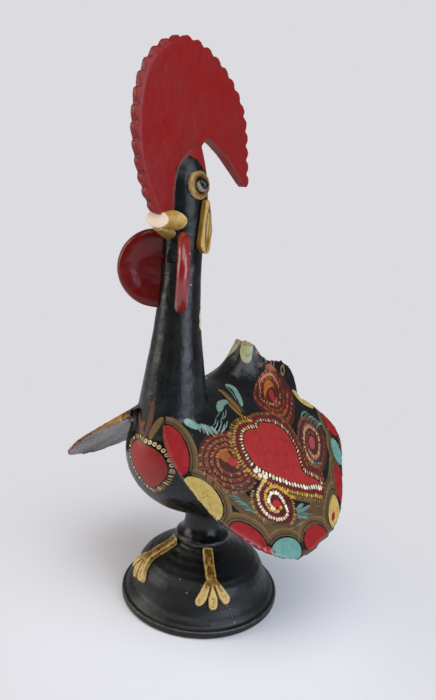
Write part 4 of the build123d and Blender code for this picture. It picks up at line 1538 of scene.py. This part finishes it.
class ROOSTER_OT_stage(bpy.types.Operator):
    """Pale floor running out to a backdrop, soft light and the camera"""
    bl_idname = "rooster.stage"
    bl_label = "Stage"

    # in metres: the floor's width, and where it starts to run out to the backdrop and has done so
    floor_size = 30.0
    fade_from = 0.05
    fade_to = 0.3
    floor_shade = 0.97
    # the way from the camera in plan, and the room's light in front of the rooster and behind it
    view_way = (-0.64, 0.77, 0.0)
    front_level = 0.2
    back_level = 0.32
    aim = Vector((0, 0, 0.2))
    # the photograph's viewpoint in metres, with its turn, tip and roll in degrees
    camera_place = (0.3351, -0.3994, 0.3596)
    camera_turn = 39.70
    camera_tip = 90 - 14.39
    camera_roll = 3.87
    sensor_height = 36.0

    def execute(self, context):
        self.lay_floor(context)
        self.light_room(context)
        self.hang_lights(context)
        self.set_camera(context)
        context.scene.view_settings.view_transform = "Standard"
        return {"FINISHED"}

    def lay_floor(self, context):
        """A wide pale floor that runs out to the colour of the backdrop."""
        stage = context.scene.rooster_stage
        bpy.ops.object.select_all(action="DESELECT")
        bpy.ops.mesh.primitive_plane_add(size=self.floor_size, location=(0, 0, 0))
        floor = context.view_layer.objects.active
        floor.name = "floor"
        material, tree = new_finish("Matt studio paper")
        place = add(tree, "TexCoord").outputs["Object"]
        soft = add(tree, "TexNoise", {"Vector": place, "Scale": per_mm(900), "Detail": 1.0})
        base = rgba(stage.floor)
        dim = [self.floor_shade * part for part in base[:3]] + [1.0]
        body = add(tree, "Mix", {0: soft.outputs[0], 6: dim, 7: base}, data_type="RGBA").outputs[2]
        shader = add(tree, "BsdfPrincipled", {
            "Base Color": body, "Roughness": 0.9, "Specular IOR Level": 0.1})
        away = add(tree, "VectorMath", {0: place}, operation="LENGTH").outputs["Value"]
        far = add(tree, "MapRange", {"Value": away, "From Min": self.fade_from, "From Max": self.fade_to},
                  interpolation_type="SMOOTHSTEP").outputs[0]
        seen = add(tree, "LightPath").outputs["Is Camera Ray"]
        fade = add(tree, "Math", {0: far, 1: seen}, operation="MULTIPLY").outputs[0]
        backdrop = add(tree, "Emission", {"Color": rgba(stage.backdrop)})
        surface = add(tree, "MixShader", {0: fade, 1: shader.outputs[0], 2: backdrop.outputs[0]})
        add(tree, "OutputMaterial", {"Surface": surface.outputs[0]})
        floor.data.materials.append(material)

    def light_room(self, context):
        """A room that is pale behind the rooster and darker in front of it."""
        stage = context.scene.rooster_stage
        world = bpy.data.worlds.new("Pale room")
        world.use_nodes = True
        tree = world.node_tree
        tree.nodes.clear()
        way = add(tree, "TexCoord").outputs["Generated"]
        ahead = add(tree, "VectorMath", {0: way, 1: self.view_way}, operation="DOT_PRODUCT").outputs["Value"]
        room = add(tree, "MapRange", {
            "Value": ahead, "From Min": -0.5, "From Max": 0.3,
            "To Min": self.front_level, "To Max": self.back_level}).outputs[0]
        seen = add(tree, "LightPath").outputs["Is Camera Ray"]
        level = add(tree, "Mix", {0: seen, 2: room, 3: 1.0}, data_type="FLOAT").outputs[0]
        pale = add(tree, "Background", {"Color": rgba(stage.backdrop), "Strength": level})
        add(tree, "OutputWorld", {"Surface": pale.outputs[0]})
        context.scene.world = world

    def hang_lights(self, context):
        """Broad windows to the right and left, and a weaker light overhead."""
        stage = context.scene.rooster_stage
        lamps = [
            ("right_window", (1.2, -0.05, 0.7), (0.9, 1.3), stage.window_power, "#e2edff"),
            ("left_window", (-0.9, -0.9, 0.7), (0.8, 1.2), stage.fill_power, "#fff8ee"),
            ("overhead", (0.4, -0.55, 1.45), (1.0, 1.0), stage.top_power, "#ffffff"),
        ]
        for name, at, size, power, colour in lamps:
            light = bpy.data.lights.new(name, "AREA")
            light.shape = "RECTANGLE"
            light.size, light.size_y = size
            light.energy = power
            light.color = linear(colour)[:3]
            lamp = bpy.data.objects.new(name, light)
            context.scene.collection.objects.link(lamp)
            lamp.location = at
            lamp.rotation_euler = (self.aim - Vector(at)).to_track_quat("-Z", "Y").to_euler()

    def set_camera(self, context):
        """The photograph's own viewpoint, lens and slight roll."""
        camera = bpy.data.cameras.new("camera")
        camera.lens = context.scene.rooster_stage.focal_length
        camera.sensor_fit = "VERTICAL"
        camera.sensor_height = self.sensor_height
        camera.clip_start = 10 * MM
        view = bpy.data.objects.new("camera", camera)
        context.scene.collection.objects.link(view)
        turn = Matrix.Rotation(math.radians(self.camera_turn), 4, "Z")
        tip = Matrix.Rotation(math.radians(self.camera_tip), 4, "X")
        roll = Matrix.Rotation(math.radians(self.camera_roll), 4, "Z")
        view.matrix_world = Matrix.Translation(self.camera_place) @ turn @ tip @ roll
        context.scene.camera = view


STEPS = (
    ROOSTER_OT_figure, ROOSTER_OT_base, ROOSTER_OT_head, ROOSTER_OT_wattles, ROOSTER_OT_beak, ROOSTER_OT_eyes,
    ROOSTER_OT_earlobes, ROOSTER_OT_feet, ROOSTER_OT_painting, ROOSTER_OT_stage,
)


class ROOSTER_PT_panel(bpy.types.Panel):
    """Lists the rooster's pieces in the order they are made"""
    bl_idname = "ROOSTER_PT_panel"
    bl_label = "Painted clay rooster"
    bl_space_type = "VIEW_3D"
    bl_region_type = "UI"
    bl_category = "Rooster"

    def draw(self, context):
        for step in STEPS:
            self.layout.operator(step.bl_idname)
        for group in (context.scene.rooster_clay, context.scene.rooster_paint, context.scene.rooster_stage):
            for name in group.__annotations__:
                self.layout.prop(group, name)


GROUPS = {"rooster_clay": RoosterClay, "rooster_paint": RoosterPaint, "rooster_stage": RoosterStage}


def register():
    """Registers the settings, operators and panel."""
    for name, group in GROUPS.items():
        bpy.utils.register_class(group)
        setattr(bpy.types.Scene, name, bpy.props.PointerProperty(type=group))
    for step in STEPS + (ROOSTER_PT_panel,):
        bpy.utils.register_class(step)


def unregister():
    """Takes them out again."""
    for step in STEPS + (ROOSTER_PT_panel,):
        bpy.utils.unregister_class(step)
    for name, group in GROUPS.items():
        delattr(bpy.types.Scene, name)
        bpy.utils.unregister_class(group)


def main():
    """Makes every piece in order."""
    register()
    bpy.ops.rooster.figure()
    bpy.ops.rooster.base()
    bpy.ops.rooster.head()
    bpy.ops.rooster.wattles()
    bpy.ops.rooster.beak()
    bpy.ops.rooster.eyes()
    bpy.ops.rooster.earlobes()
    bpy.ops.rooster.feet()
    bpy.ops.rooster.painting()
    bpy.ops.rooster.stage()


if __name__ == "__main__":
    main()
